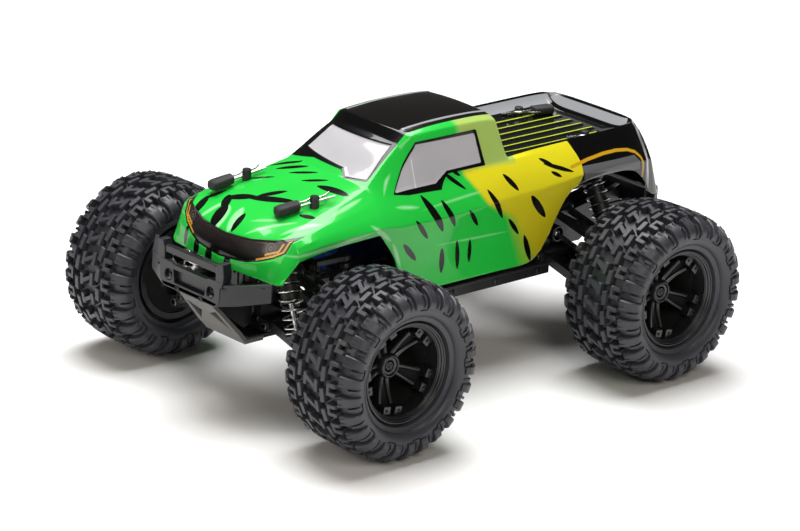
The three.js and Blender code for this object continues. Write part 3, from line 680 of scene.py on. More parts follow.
def build_corner(end_name, side_name):
    prefix = f"{end_name}_{side_name}"
    side = 1 if side_name == "left" else -1
    end = 1 if end_name == "rear" else -1
    place = lambda x, y, z: (side * x, end * (AXLE_Y + y), z)
    build_wheel(prefix, side, end)

    eye = SHOCK_EYES[end_name]
    top = joint_mm(f"{prefix}_shock_tilt")
    shock_y = abs(top.y) - AXLE_Y
    top.x = abs(top.x)
    piece(f"{prefix}_lower_wishbone", lower_arm_shape(eye).moved(place), BLACK, f"{prefix}_lower_arm",
          bevel=0.3, stands_for=(f"{prefix}_lower_arm",))
    piece(f"{prefix}_upper_wishbone", upper_arm_shape().moved(place), BLACK, f"{prefix}_upper_arm",
          bevel=0.3, stands_for=(f"{prefix}_upper_arm",))
    piece(f"{prefix}_outer_hinge_pin", hinge_pin(OUTER_PIN.x, OUTER_PIN.z, -11.8, 11.8).moved(place), STEEL,
          f"{prefix}_lower_arm", bevel=0.1)
    piece(f"{prefix}_inner_hinge_pin", hinge_pin(LOWER_PIN.x, LOWER_PIN.z, -13.8, 13.8).moved(place), STEEL,
          "chassis", bevel=0.1)
    pin_end = (eye[0], shock_y + 2.4, eye[1])
    piece(f"{prefix}_lower_shock_screw", button_screw(pin_end, "y").moved(place), SCREW,
          f"{prefix}_lower_arm")
    pin_top = (top.x, shock_y + 2.4, top.z)
    piece(f"{prefix}_upper_shock_screw", button_screw(pin_top, "y").moved(place), SCREW, "chassis")

    out = Vector((OUTER_PIN.x, 0, AXLE_Z))
    start = Vector((LOWER_PIN.x, 0, AXLE_Z + DROP))
    dog_bone = Shape().tube([start, out], 1.3, 20).ball(start, 2.2).ball(out, 1.9)
    piece(f"{prefix}_dog_bone", dog_bone.moved(place), STEEL, f"{prefix}_half_shaft",
          stands_for=(f"{prefix}_half_shaft",))

    length = math.hypot(eye[0] - top.x, top.z - eye[1])
    lean = strut_frame(top, eye, shock_y)
    strut = lambda shape: shape.moved(lean).moved(place)
    body, rod = f"{prefix}_shock_body", f"{prefix}_shock_rod"
    piece(f"{prefix}_damper", strut(shock_body_shape()), BLACK, body, bevel=0.0,
          stands_for=(body,))
    piece(f"{prefix}_spring_seat", strut(shock_foot_shape(length)), BLACK, rod,
          stands_for=(rod,))
    shaft = Shape().tube([(0, 0, -length + 6), (0, 0, -length + 34)], 1.5, 20)
    piece(f"{prefix}_damper_rod", strut(shaft), STEEL, rod)
    coil = strut(coil_shape(-length + 7.7, -10.0))
    material = SPRING_STEEL if end_name == "front" else DARK_SPRING
    spring = piece(f"{prefix}_coil", coil, material, None, stands_for=(f"{prefix}_spring",))
    ends = [(Vector(place(*lean(0, 0, along))) + ORIGIN) * MM for along in (-10.0, -length + 7.7)]
    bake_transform(spring)
    if end < 0:
        paint_node(f"{prefix}_steering_knuckle", BLACK)
    paint_node(f"{prefix}_hub_carrier", BLACK)


# ---------------------------------------------------------------- body shell

# Half cage of the shell: one line per station from nose to tail. The nine points run from the centre
# line over the edge of the top (fourth) and the shoulder (fifth) down to the lower edge (last).
CAGE = [
    [(0, -125, 76), (13, -124.5, 75.8), (24, -122.5, 75.5), (32, -120.8, 75), (36, -120, 74.8),
     (38.4, -119.6, 74.8), (40, -119.3, 75.2), (40.8, -119, 75.8), (41.2, -118.8, 76.4)],
    [(0, -124, 84), (13, -123.6, 83.8), (23.5, -121.5, 83.5), (32.5, -119.2, 84), (37.4, -117.8, 84),
     (40.2, -116.8, 83.2), (41.8, -116, 82.4), (42.6, -115.6, 81.6), (43, -115.4, 81)],
    [(0, -121.5, 91), (13, -120.5, 92), (24, -117.5, 93.5), (34, -114, 95.5), (39.4, -112, 95.5),
     (42.4, -111.6, 93), (43.8, -111.4, 90.4), (44.4, -111.2, 88.4), (44.6, -111, 86.8)],
    [(0, -115, 96.5), (13, -114, 97), (24, -111, 97.3), (34, -107, 98), (40, -106, 97),
     (43.5, -106, 94.5), (45.2, -106.5, 91.5), (45.2, -107, 89.5), (45, -107.5, 87.5)],
    [(0, -103, 101.5), (13, -102, 102), (24, -100, 101.5), (34, -98, 101), (40, -98, 99),
     (44, -98, 96), (45.8, -98, 92.8), (45.6, -98, 91), (45, -98, 89)],
    [(0, -87, 106), (13, -87, 106.3), (24, -86, 105.6), (33, -86, 103.8), (39.5, -86, 100.6),
     (44, -86, 97), (46, -86, 93.5), (45.6, -86, 91.6), (45, -86, 90)],
    [(0, -71, 109.5), (13, -71, 109.6), (24, -70, 108.8), (32, -70, 106.8), (38.5, -70, 102.3),
     (43.5, -70, 98), (46, -70, 94), (45.7, -70, 92), (45, -70, 90.5)],
    [(0, -60, 111.5), (14, -59.5, 111.6), (24, -58, 111.2), (29.5, -56.5, 110.3), (36.5, -57, 105),
     (42.5, -58, 99.5), (46, -59, 94.5), (45.8, -59.5, 92.5), (45, -60, 90.8)],
    [(0, -51.5, 117.5), (14, -51, 117.3), (23.5, -50, 116.5), (28.2, -49.5, 115), (35.5, -47, 105.8),
     (41.5, -50, 99), (45.3, -52, 93.5), (45.4, -52, 87), (45, -52, 81)],
    [(0, -43, 123.8), (13.5, -42.5, 123.6), (22.5, -42, 122.7), (26.8, -41.5, 121), (34.8, -41, 106),
     (41, -43, 99), (44.8, -45, 92.5), (45.2, -46, 82), (45, -46.5, 72.5)],
    [(0, -34.5, 129), (13, -34.2, 128.8), (21.8, -33.8, 127.9), (25.3, -33, 126.3), (34.4, -33, 106),
     (40.7, -33, 99), (44.6, -36, 92), (44.5, -41, 72), (42, -42.5, 56)],
    [(0, -30, 133.4), (13, -29.8, 133.2), (22.5, -28.5, 132.5), (27.2, -26, 130.8), (34.4, -24, 106),
     (40.7, -25, 99), (44.4, -27, 91.5), (44.2, -30, 71), (42, -31, 55)],
    [(0, -12, 135.2), (13, -12, 134.8), (23.5, -12, 134), (28, -12, 131.8), (34.5, -12, 106.2),
     (40.8, -12, 99), (44.4, -12, 91.3), (44, -14, 71), (42, -15, 55)],
    [(0, 8, 135.4), (13, 8, 134.9), (23.8, 8, 134), (28.4, 8, 132), (34.6, 8, 108.5),
     (40.9, 8, 100.5), (44.5, 8, 92.3), (44, 8, 71.5), (42, 8, 55)],
    [(0, 22, 135), (13, 22, 134.6), (24, 22, 133.7), (28.6, 22, 131.8), (35, 22, 110.5),
     (41, 22, 101.5), (44.6, 22, 93.5), (44, 22, 72), (42, 22, 55)],
    [(0, 30, 134), (13, 30, 133.6), (24, 30, 132.8), (28.7, 29.5, 131), (35.2, 29, 111.5),
     (41, 29, 102.5), (44.7, 29, 94), (44, 29, 72), (42, 29, 55)],
    [(0, 33.5, 108), (13, 33.5, 108), (24, 33.5, 108.2), (33.5, 34, 112), (36.3, 34, 110.8),
     (41.3, 35, 102.5), (44.8, 35, 94.3), (44, 36, 74), (42.5, 37, 55)],
    [(0, 50, 107.5), (13, 50, 107.5), (28, 50, 107.5), (34.4, 50, 113.8), (36.6, 50, 111),
     (41.8, 50, 103), (45.4, 50, 95), (45.2, 50, 75), (44.5, 50, 56)],
    [(0, 60, 107.5), (13, 60, 107.5), (28, 60, 107.5), (34.4, 60, 114), (36.7, 60, 111.2),
     (41.9, 60, 103.5), (45.6, 60, 96), (45.4, 60, 86), (45, 59.5, 74)],
    [(0, 68, 107.5), (13, 68, 107.5), (28, 68, 107.5), (34.5, 68, 114.2), (36.8, 68, 111.3),
     (42, 68, 104), (45.8, 68, 96.5), (45.6, 68, 92.5), (45, 68, 89.5)],
    [(0, 80, 107.5), (13, 80, 107.5), (28, 80, 107.5), (34.6, 80, 114.4), (37, 80, 111.5),
     (42, 80, 104.5), (45.8, 80, 98.5), (45.8, 80, 96), (45, 79, 94)],
    [(0, 100, 107.5), (13, 100, 107.5), (28, 100, 107.5), (34.6, 100, 114.5), (37, 100, 111.5),
     (42, 100, 104.5), (45.8, 100, 98.5), (45.8, 100, 96.5), (45, 100, 94.8)],
    [(0, 118, 107.5), (13, 118, 107.5), (28, 118, 107.5), (34.5, 118, 114.7), (36.8, 118, 111.6),
     (41.5, 118, 104), (45, 118, 98.3), (45.2, 118, 96.4), (44.8, 118, 94.5)],
    [(0, 124, 107.5), (13, 124, 107.5), (26, 123.6, 107.6), (32.6, 125.2, 114.9), (35.2, 126, 111.5),
     (39.6, 127, 103), (43, 128, 96), (43, 128.5, 90), (42.5, 129, 84)],
    [(0, 130.5, 115.2), (13, 130.5, 115.2), (22, 130.3, 115.1), (28, 129.6, 114.8), (31, 130.8, 111.5),
     (36.4, 131.6, 103.5), (40, 132.3, 95), (40.8, 132.8, 87), (41, 133, 78)],
    [(0, 133, 112.5), (13, 133, 112.5), (22, 132.7, 112.5), (27.6, 132.2, 111.8), (31.2, 133, 109),
     (36, 134.4, 102), (39, 135.8, 94), (39.8, 137, 85), (40, 138, 75)],
    [(0, 139.5, 94), (13, 139.5, 94), (26, 139, 94), (31.5, 138.6, 93.5), (34, 138.4, 92),
     (36.3, 138.6, 90), (38, 139.3, 87), (38.8, 140.5, 82), (39, 141.5, 75)],
    [(0, 145, 76), (13, 145, 76), (25, 144.8, 75.5), (31, 144.5, 75.2), (33.5, 144.3, 75),
     (35.5, 144.1, 74.8), (36.5, 143.9, 74.7), (37.3, 143.6, 74.6), (38, 143.2, 74.5)],
]
TOP_EDGE, SHOULDER, BELT = 3, 4, 6                       # rows of the half cage
ROW_CREASE = {TOP_EDGE: 0.6, SHOULDER: 0.5, BELT: 0.75}
CORNER_ROW, CORNER_STATIONS, CORNER_CREASE = 5, 4, 0.6   # the upright edge at the outer end of each lamp
NOSE_TOP, SCREEN_BASE, SCREEN_TOP, ROOF_LIP, CAB_REAR, BED_FRONT, BED_REAR = 2, 7, 10, 11, 15, 16, 23
STATION_CREASE = {1: 0.4, NOSE_TOP: 0.75, SCREEN_BASE: 0.6, SCREEN_TOP: 0.7, ROOF_LIP: 0.7, CAB_REAR: 0.8,
                  BED_FRONT: 0.8, BED_REAR: 0.6, BED_REAR + 1: 0.6, BED_REAR + 2: 0.6}
SHELL_THICK = 0.9


def shell_cage():
    """The whole cage as a mesh, with its rows and stations kept as point values and its creases set."""
    half = len(CAGE[0])
    across = 2 * half - 1
    mesh = bpy.data.meshes.new("shell_cage")
    points, rows, stations = [], [], []
    for s, station in enumerate(CAGE):
        for c in range(across):
            row = abs(c - half + 1)
            x, y, z = station[row]
            points.append(((x if c >= half else -x) * MM, y * MM, z * MM))
            rows.append(row)
            stations.append(s)
    faces = []
    for s in range(len(CAGE) - 1):
        for c in range(across - 1):
            a = s * across + c
            faces.append((a, a + 1, a + across + 1, a + across))
    mesh.from_pydata(points, [], faces)
    for name, values in (("row", rows), ("station", stations)):
        mesh.attributes.new(name, "FLOAT", "POINT").data.foreach_set("value", [float(v) for v in values])
    crease = mesh.attributes.new("crease_edge", "FLOAT", "EDGE")
    for edge in mesh.edges:
        a, b = edge.vertices
        if rows[a] == rows[b] and stations[a] != stations[b]:
            on_corner = rows[a] == CORNER_ROW and stations[a] < CORNER_STATIONS
            crease.data[edge.index].value = CORNER_CREASE if on_corner else ROW_CREASE.get(rows[a], 0)
        elif stations[a] == stations[b]:
            crease.data[edge.index].value = STATION_CREASE.get(stations[a], 0)
    return mesh


def smoothed(mesh, levels):
    """The cage after subdivision, as a mesh of its own."""
    carrier = bpy.data.objects.new("cage", mesh)
    bpy.context.collection.objects.link(carrier)
    rounding = carrier.modifiers.new("round", "SUBSURF")
    rounding.levels = rounding.render_levels = levels
    rounding.boundary_smooth = "PRESERVE_CORNERS"
    result = bpy.data.meshes.new_from_object(carrier.evaluated_get(bpy.context.evaluated_depsgraph_get()))
    bpy.data.objects.remove(carrier)
    return result


def inside(u, v, outline):
    """Signed distance from points (u, v) to an outline, negative inside it."""
    far = np.full(len(u), 1e9)
    within = np.zeros(len(u), bool)
    for (au, av), (bu, bv) in zip(outline, outline[1:] + outline[:1]):
        du, dv = bu - au, bv - av
        along = np.clip(((u - au) * du + (v - av) * dv) / (du * du + dv * dv), 0, 1)
        far = np.minimum(far, np.hypot(u - au - along * du, v - av - along * dv))
        crosses = (av > v) != (bv > v)
        if dv:
            within ^= crosses & (u < au + (v - av) / dv * du)
    return np.where(within, -far, far)


def near_path(u, v, path, width):
    """Signed distance to a stroke of the given width along a path."""
    far = np.full(len(u), 1e9)
    for (au, av), (bu, bv) in zip(path, path[1:]):
        du, dv = bu - au, bv - av
        along = np.clip(((u - au) * du + (v - av) * dv) / (du * du + dv * dv), 0, 1)
        far = np.minimum(far, np.hypot(u - au - along * du, v - av - along * dv))
    return far - width / 2


SCREEN_GLASS = [(-22.6, 117.0), (-20.2, 126.6), (22.2, 126.6), (26.3, 113.2), (15, 112.6), (10, 115.2)]
SCREEN_TRIM = [(-29, 111.5), (-24, 129.5), (24, 129.5), (27.3, 112.3), (15, 111.7), (9.5, 114.2),
               (-12, 114.6)]
SIDE_GLASS = [(-42, 106.4), (-24, 126.6), (14.2, 126.6), (16.3, 112), (-6.5, 111.4), (-14.5, 106.6)]
SIDE_TRIM = [(-43.4, 105.8), (-24.5, 127.9), (15.6, 128.4), (18.6, 110.3), (-6.3, 109.9), (-12.6, 103.5),
             (-34, 104.2)]
REAR_GLASS = [(-21, 115), (-19.5, 129.5), (19.5, 129.5), (21, 115)]
LAMP_BAND = [(-40, 97.4), (-30, 94.6), (-18, 92.6), (0, 91.6), (18, 92.6), (30, 94.6), (40, 97.4),
             (38.4, 90), (33, 86.6), (26, 83.6), (18, 81.4), (0, 80), (-18, 81.4), (-26, 83.6),
             (-33, 86.6), (-38.4, 90)]
LAMP_BAND_REAR = -104                                   # y behind which no lamp is painted
LAMP_LINES = [[(24, 84.2), (32.4, 87.6), (36.8, 90.4), (38.2, 95.6)],
              [(28, 87.4), (34.4, 90.2), (35.6, 93.8)]]
LAMP_RING = (29.6, 90.6)
GREY_PANEL = [(79, 101.6), (118, 100.9), (121.5, 97.5), (121.5, 93), (92, 92), (79.5, 95)]
TAIL_STRIPE = [(72, 102.2), (84, 104), (96, 105), (106, 105), (114, 104), (119.5, 102), (123, 99),
               (124.8, 95), (125, 88)]
YELLOW_START = [54, 84, 93, 108, 130], [38, 25, 12, 2.5, 2]     # heights, y where the yellow begins there
YELLOW_FADE = [54, 84, 93, 108], [17, 9, 3, 3]                  # heights, length of its fade there
ROOF_STRIP_X, ROOF_STRIP_W = 20.6, 1.7
BED_RIBS = (42, 118)                                    # start and end of the ribs of the bed floor


def shell_values(mesh):
    """Point values in millimetres that the paint reads: signed distances to the edge of each painted area."""
    count = len(mesh.vertices)
    flat = np.empty(count * 3, np.float32)
    mesh.vertices.foreach_get("co", flat)
    x, y, z = flat.reshape(-1, 3).T / MM
    row, station = np.empty(count, np.float32), np.empty(count, np.float32)
    mesh.attributes["row"].data.foreach_get("value", row)
    mesh.attributes["station"].data.foreach_get("value", station)
    ax = np.abs(x)
    top = (row - TOP_EDGE) * 6
    flank = (TOP_EDGE + 0.04 - row) * 20
    on_screen = np.maximum(top + 0.3, np.maximum(SCREEN_BASE - 0.2 - station, station - SCREEN_TOP) * 8)
    on_wall = np.maximum(top, np.maximum(CAB_REAR - station, station - BED_FRONT) * 20)
    on_nose = y - LAMP_BAND_REAR
    glass = np.maximum(inside(x, z, SCREEN_GLASS), on_screen)
    glass = np.minimum(glass, np.maximum(inside(y, z, SIDE_GLASS), flank))
    glass = np.minimum(glass, np.maximum(inside(x, z, REAR_GLASS), on_wall))
    trim = np.maximum(inside(x, z, SCREEN_TRIM), on_screen)
    trim = np.minimum(trim, np.maximum(inside(y, z, SIDE_TRIM), flank))
    roof = np.maximum(np.maximum(ax - 24.2, -39 - y), (SCREEN_TOP - 0.3 - station) * 8)
    roof = np.maximum(roof, (y - 60) / 3)
    bed = np.maximum((BED_FRONT - 0.45 - station) * 12, top - 1.6)
    tail = 77 + 2.2 * np.sin(z / 5) - y
    lamp_band = np.maximum(inside(x, z, LAMP_BAND), on_nose)
    black = np.minimum.reduce([trim, roof, bed, tail, lamp_band])
    rail_face = np.maximum(np.abs(row - 2.52) * 7 - 2.3, (BED_FRONT + 1.6 - station) * 8)
    rail_face = np.maximum(rail_face, (station - BED_REAR - 0.2) * 8)
    rear_face = np.maximum(np.abs(station - BED_REAR - 0.55) * 9 - 2.4, top + 2.5)
    panel = np.maximum(inside(y, z, GREY_PANEL), (SHOULDER - row) * 8)
    strips = np.maximum(np.abs(ax - ROOF_STRIP_X) - ROOF_STRIP_W / 2, np.maximum(-27 - y, y - 29))
    strips = np.maximum(strips, top)
    strips = np.maximum(strips, ROOF_LIP - 0.1 - station)
    grey = np.minimum.reduce([np.minimum(rail_face, rear_face), panel, strips])
    stripe = np.maximum(near_path(y, z, TAIL_STRIPE, 1.5), (TOP_EDGE + 0.5 - row) * 8)
    lines = np.minimum.reduce([near_path(ax, z, path, 0.9) for path in LAMP_LINES])
    amber = np.maximum(lines, on_nose)
    start = np.interp(z, *YELLOW_START)
    soft = np.interp(z, *YELLOW_FADE)
    yellow = np.clip((y - start) / soft, 0, 1)
    pillar = np.clip((z - 108.5) / 2.5, 0, 1) * (station < BED_FRONT + 0.2)
    floor = np.maximum(bed, np.maximum(BED_RIBS[0] - y, y - BED_RIBS[1]))
    return {
        "glass": glass,
        "black": black,
        "grey": grey,
        "stripe": stripe,
        "amber": amber,
        "yellow": yellow,
        "pillar": pillar,
        "bed_floor": np.maximum(floor, ax - 26),
        "strips": strips,
        "band": lamp_band,
    }


def shape_details(mesh, values):
    """Sinks the windows and lamps a little and lifts the roof strips and the ribs of the bed."""
    count = len(mesh.vertices)
    flat, normal = np.empty(count * 3, np.float32), np.empty(count * 3, np.float32)
    mesh.vertices.foreach_get("co", flat)
    mesh.vertex_normals.foreach_get("vector", normal)
    step = lambda distance, width=0.5: np.clip(0.5 - distance / width, 0, 1)
    rib = np.abs(np.mod(flat[0::3] / MM + 80, 8) - 4) - 1.5
    lift = -0.45 * step(values["glass"]) + 0.5 * step(values["strips"]) - 0.5 * step(values["band"], 0.8)
    lift += 0.7 * step(np.maximum(rib, values["bed_floor"]), 1.0)
    flat += np.repeat(lift, 3).astype(np.float32) * MM * normal
    mesh.vertices.foreach_set("co", flat)
    mesh.update()


SIDE_SLASHES = [      # start and end as [y, z] on the flank, width
    ((-27, 103.3), (-17, 84.6), 3.0), ((-15.5, 99.6), (-9, 85.8), 2.3), ((14.8, 100), (23.8, 84), 2.2),
    ((42.4, 92.8), (53.4, 79.4), 2.8), ((27.1, 105.3), (34.6, 96.6), 2.0),
    ((-35.5, 93.5), (-27.2, 82.8), 2.0), ((-9.2, 111.2), (2, 101.8), 1.6),
    ((-4.5, 112.5), (1.5, 107.7), 1.4), ((58.1, 102), (64.2, 98.8), 1.4), ((40, 72), (46, 57), 2.2),
    ((-44, 83.2), (-34.2, 72.7), 2.2), ((0.4, 92.6), (6.8, 83.2), 1.8), ((52.8, 108.9), (61.2, 104.3), 1.4),
    ((54.6, 106.3), (72.8, 99.9), 1.5), ((-17, 76), (-15.3, 62), 2.4), ((-7, 78), (-4.3, 62), 2.0),
    ((2, 77), (3.2, 64), 1.8), ((28, 83), (36.4, 73), 1.7),
]
TOP_SLASHES = [       # start and end as [x, y] on the bonnet, width
    ((-9, -121.5), (-14.5, -108), 4.6), ((-13, -111), (-20.6, -101.5), 3.4),
    ((-20.8, -104.4), (-5, -96.6), 3.4), ((-10, -99.4), (15.5, -89.6), 3.4),
    ((-26, -119), (-31, -106), 3.2), ((-31, -109), (-26, -99), 2.2), ((-5.7, -96.1), (3.4, -84.6), 2.6),
    ((-29.8, -68.3), (-16.5, -58), 2.2), ((-22, -71), (-9.5, -60), 2.4), ((-12, -71), (0, -62), 1.8),
    ((11, -72.3), (29.6, -67.6), 3.4), ((0.2, -73.3), (11, -64.8), 1.8),
    ((25.5, -95.7), (33.6, -92.3), 2.2), ((4, -120), (1, -109), 2.6), ((-26, -86), (-14, -78), 1.6),
]
NOSE_SLASHES = [      # start and end as [x, z] under the lamp band, width
    ((-18.5, 84), (-18.2, 74), 3.4), ((-7.5, 83), (-7.3, 73), 3.6), ((6.5, 83), (6.8, 73), 3.2),
    ((-30, 86), (-29.4, 76), 2.4),
]
SIDE_GLEAMS = [       # painted highlights: soft streaks of reflected light on the flank, start and end as [y, z], width
    ((-118, 89), (-64, 93.5), 2.2), ((-66, 97), (-52, 86), 2.4), ((-52, 86), (-44, 70), 2.2),
    ((-50, 106), (-33, 127), 2.0), ((-46, 101), (-30, 98.5), 1.6), ((-30, 97), (24, 100.5), 1.2),
    ((-22, 78), (30, 76), 1.2),
]
TOP_GLEAMS = [        # the same painted highlights on the bonnet, start and end as [x, y], width
    ((-22, -121), (-16, -104), 2.4), ((-6, -122), (-12, -108), 4.5), ((2, -121), (-4, -106), 4.0),
    ((12, -119), (30, -100), 2.0), ((30, -112), (38, -92), 2.6), ((36, -84), (33, -62), 2.0),
    ((8, -112), (22, -104), 1.6), ((-34, -104), (-30, -80), 1.8),
]


MARK_WIDTH = 1.5


def slash_group():
    """Node group: one long mark that tapers to a point at both ends."""
    group = bpy.data.node_groups.new("slash", "ShaderNodeTree")
    for name in ("Place", "Start", "Along"):
        group.interface.new_socket(name, in_out="INPUT", socket_type="NodeSocketVector")
    for name in ("Width", "Softness"):
        group.interface.new_socket(name, in_out="INPUT", socket_type="NodeSocketFloat")
    group.interface.new_socket("Mask", in_out="OUTPUT", socket_type="NodeSocketFloat")
    given = group.nodes.new("NodeGroupInput").outputs
    out = group.nodes.new("NodeGroupOutput")
    vector = lambda kind, a, b: node(group, "ShaderNodeVectorMath", {0: a, 1: b}, operation=kind)
    away = vector("SUBTRACT", given["Place"], given["Start"]).outputs[0]
    reach = vector("DOT_PRODUCT", away, given["Along"]).outputs["Value"]
    whole = vector("DOT_PRODUCT", given["Along"], given["Along"]).outputs["Value"]
    share = math_node(group, "DIVIDE", reach, whole, clamp=True)
    scaled = node(group, "ShaderNodeVectorMath", {0: given["Along"], "Scale": share},
                  operation="SCALE").outputs[0]
    distance = vector("DISTANCE", away, scaled).outputs["Value"]
    taper = math_node(group, "MULTIPLY", share, math_node(group, "SUBTRACT", 1.0, share))
    bulge = math_node(group, "POWER", math_node(group, "MULTIPLY", taper, 4.0), 0.6)
    half = math_node(group, "MULTIPLY", bulge,
                     math_node(group, "MULTIPLY", given["Width"], 0.5))
    over = math_node(group, "SUBTRACT", half, distance)
    mask = math_node(group, "DIVIDE", over, given["Softness"], clamp=True)
    group.links.new(mask, out.inputs["Mask"])
    return group


def marks(tree, group, place, slashes, softness=0.12):
    """The strongest of several slashes at each point."""
    total = None
    for start, end, width in slashes:
        along = (end[0] - start[0], end[1] - start[1], 0)
        made = node(tree, "ShaderNodeGroup")
        made.node_tree = group
        tree.links.new(place, made.inputs["Place"])
        made.inputs["Start"].default_value = (start[0], start[1], 0)
        made.inputs["Along"].default_value = along
        made.inputs["Width"].default_value = width * MARK_WIDTH
        made.inputs["Softness"].default_value = softness
        total = made.outputs[0] if total is None else math_node(tree, "MAXIMUM", total, made.outputs[0])
    return total


GREEN = rgb(0.020, 0.60, 0.060)
DEEP_GREEN = rgb(0.014, 0.50, 0.050)
# pale green of the painted highlights
HIGHLIGHT_GREEN = rgb(0.42, 0.86, 0.46)
YELLOW = rgb(0.783, 0.702, 0.016)
OCHRE = rgb(0.47, 0.40, 0.010)
PILLAR = rgb(0.36, 0.52, 0.12)
PAINT_BLACK = rgb(0.002, 0.002, 0.0025)
PANEL_GREY = rgb(0.12, 0.125, 0.13)
SILVER = rgb(0.30, 0.31, 0.33)
ORANGE = rgb(0.62, 0.34, 0.012)
RIB_LIME = rgb(0.42, 0.56, 0.02)


def shell_paint():
    material, tree, shader = new_material("shell_paint")
    group = slash_group()
    value = lambda name: node(tree, "ShaderNodeAttribute", attribute_name=name).outputs["Fac"]
    mask = lambda name: ramp(tree, value(name), 0.12, -0.12)
    place = node(tree, "ShaderNodeTexCoord").outputs["Object"]
    in_mm = node(tree, "ShaderNodeVectorMath", {0: place, "Scale": 1 / MM}, operation="SCALE").outputs[0]
    in_mm = node(tree, "ShaderNodeVectorMath", {0: in_mm, 1: ORIGIN}, operation="SUBTRACT").outputs[0]
    x, y, z = node(tree, "ShaderNodeSeparateXYZ", {0: in_mm}).outputs
    flat = lambda a, b: node(tree, "ShaderNodeCombineXYZ", {0: a, 1: b}).outputs[0]
    row = value("row")
    flank = ramp(tree, row, TOP_EDGE + 0.35, TOP_EDGE + 0.45)
    topside = ramp(tree, row, SHOULDER, SHOULDER - 0.1)
    before = lambda line: ramp(tree, y, line, line - 0.5)

    broad = noise(tree, 34, 3)
    colour = mix_colour(tree, broad, DEEP_GREEN, GREEN)
    # painted highlights: the green turns paler along streaks where light glances off the flank and bonnet
    side_gleam = math_node(tree, "MULTIPLY", marks(tree, group, flat(y, z), SIDE_GLEAMS, 1.2), flank)
    top_gleam = math_node(tree, "MULTIPLY", marks(tree, group, flat(x, y), TOP_GLEAMS, 1.2), topside)
    gleam = math_node(tree, "MULTIPLY", math_node(tree, "MAXIMUM", side_gleam, top_gleam), 0.7)
    colour = mix_colour(tree, gleam, colour, HIGHLIGHT_GREEN)
    warm = mix_colour(tree, ramp(tree, z, 60, 110), OCHRE, YELLOW)
    warm = mix_colour(tree, value("pillar"), warm, PILLAR)
    colour = mix_colour(tree, value("yellow"), colour, warm)

    slashed = math_node(tree, "MULTIPLY", marks(tree, group, flat(y, z), SIDE_SLASHES), flank)
    bonnet = math_node(tree, "MULTIPLY", marks(tree, group, flat(x, y), TOP_SLASHES), topside)
    nose = math_node(tree, "MULTIPLY", marks(tree, group, flat(x, z), NOSE_SLASHES), before(-112))
    slashed = math_node(tree, "MAXIMUM", slashed, math_node(tree, "MAXIMUM", bonnet, nose))
    colour = mix_colour(tree, slashed, colour, PAINT_BLACK)
    colour = mix_colour(tree, mask("black"), colour, PAINT_BLACK)
    colour = mix_colour(tree, mask("grey"), colour, mix_colour(tree, flank, SILVER, PANEL_GREY))
    colour = mix_colour(tree, mask("stripe"), colour, ORANGE)

    rib = math_node(tree, "ABSOLUTE", math_node(tree, "SUBTRACT", math_node(
        tree, "MODULO", math_node(tree, "ADD", x, 80.0), 8.0), 4.0))
    rib_line = math_node(tree, "MULTIPLY", ramp(tree, rib, 0.62, 0.48), mask("bed_floor"))
    colour = mix_colour(tree, rib_line, colour, RIB_LIME)

    ring_place = flat(math_node(tree, "ABSOLUTE", x), z)
    ring = node(tree, "ShaderNodeVectorMath", {0: ring_place, 1: (*LAMP_RING, 0)},
                operation="DISTANCE").outputs[1]
    wave = ramp(tree, math_node(tree, "PINGPONG", ring, 0.8), 0.35, 0.7)
    reflector = math_node(tree, "MULTIPLY", wave, ramp(tree, ring, 2.6, 2.4))
    smoke = mix_colour(tree, noise(tree, 150, 3, (1, 1, 4)), rgb(0.008, 0.007, 0.007),
                       rgb(0.045, 0.036, 0.034))
    smoke = mix_colour(tree, ramp(tree, z, 83, 91), PAINT_BLACK, smoke)
    smoke = mix_colour(tree, math_node(tree, "MULTIPLY", reflector, 0.7), smoke, rgb(0.16, 0.15, 0.14))
    colour = mix_colour(tree, mask("band"), colour, smoke)
    colour = mix_colour(tree, mask("amber"), colour, rgb(0.72, 0.36, 0.03))

    film = mix_colour(tree, noise(tree, 45, 2), rgb(0.40, 0.39, 0.42), rgb(0.52, 0.51, 0.54))
    seam = math_node(tree, "ABSOLUTE", math_node(tree, "ADD", y, 27.5))
    seam = math_node(tree, "MULTIPLY", ramp(tree, seam, 0.4, 0.2), flank)
    film = mix_colour(tree, seam, film, rgb(0.72, 0.72, 0.74))
    colour = mix_colour(tree, mask("glass"), colour, film)
    tree.links.new(colour, shader.inputs["Base Color"])

    shader.inputs["Roughness"].default_value = 0.22
    shader.inputs["Coat Weight"].default_value = 0.6
    shader.inputs["Specular IOR Level"].default_value = 0.15
    shader.inputs["Coat Roughness"].default_value = 0.05
    ripple = bump(tree, noise(tree, 60, 2), 0.12, 0.0006)
    tree.links.new(ripple, shader.inputs["Coat Normal"])
    return material


def build_shell():
    mesh = smoothed(shell_cage(), 4)
    values = shell_values(mesh)
    shape_details(mesh, values)
    for name, data in values.items():
        mesh.attributes.new(name, "FLOAT", "POINT").data.foreach_set("value", data.astype(np.float32))
    for face in mesh.polygons:
        face.use_smooth = True
    mesh.transform(Matrix.Translation(ORIGIN * MM))
    made = bpy.data.objects.new("painted_shell", mesh)
    bpy.context.collection.objects.link(made)
    made.data.materials.append(shell_paint())
    wall = made.modifiers.new("wall", "SOLIDIFY")
    wall.thickness = SHELL_THICK * MM
    wall.offset = -1
    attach(made, "chassis")
    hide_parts("body_shell")
    return made


# ---------------------------------------------------------------- bumpers and chassis

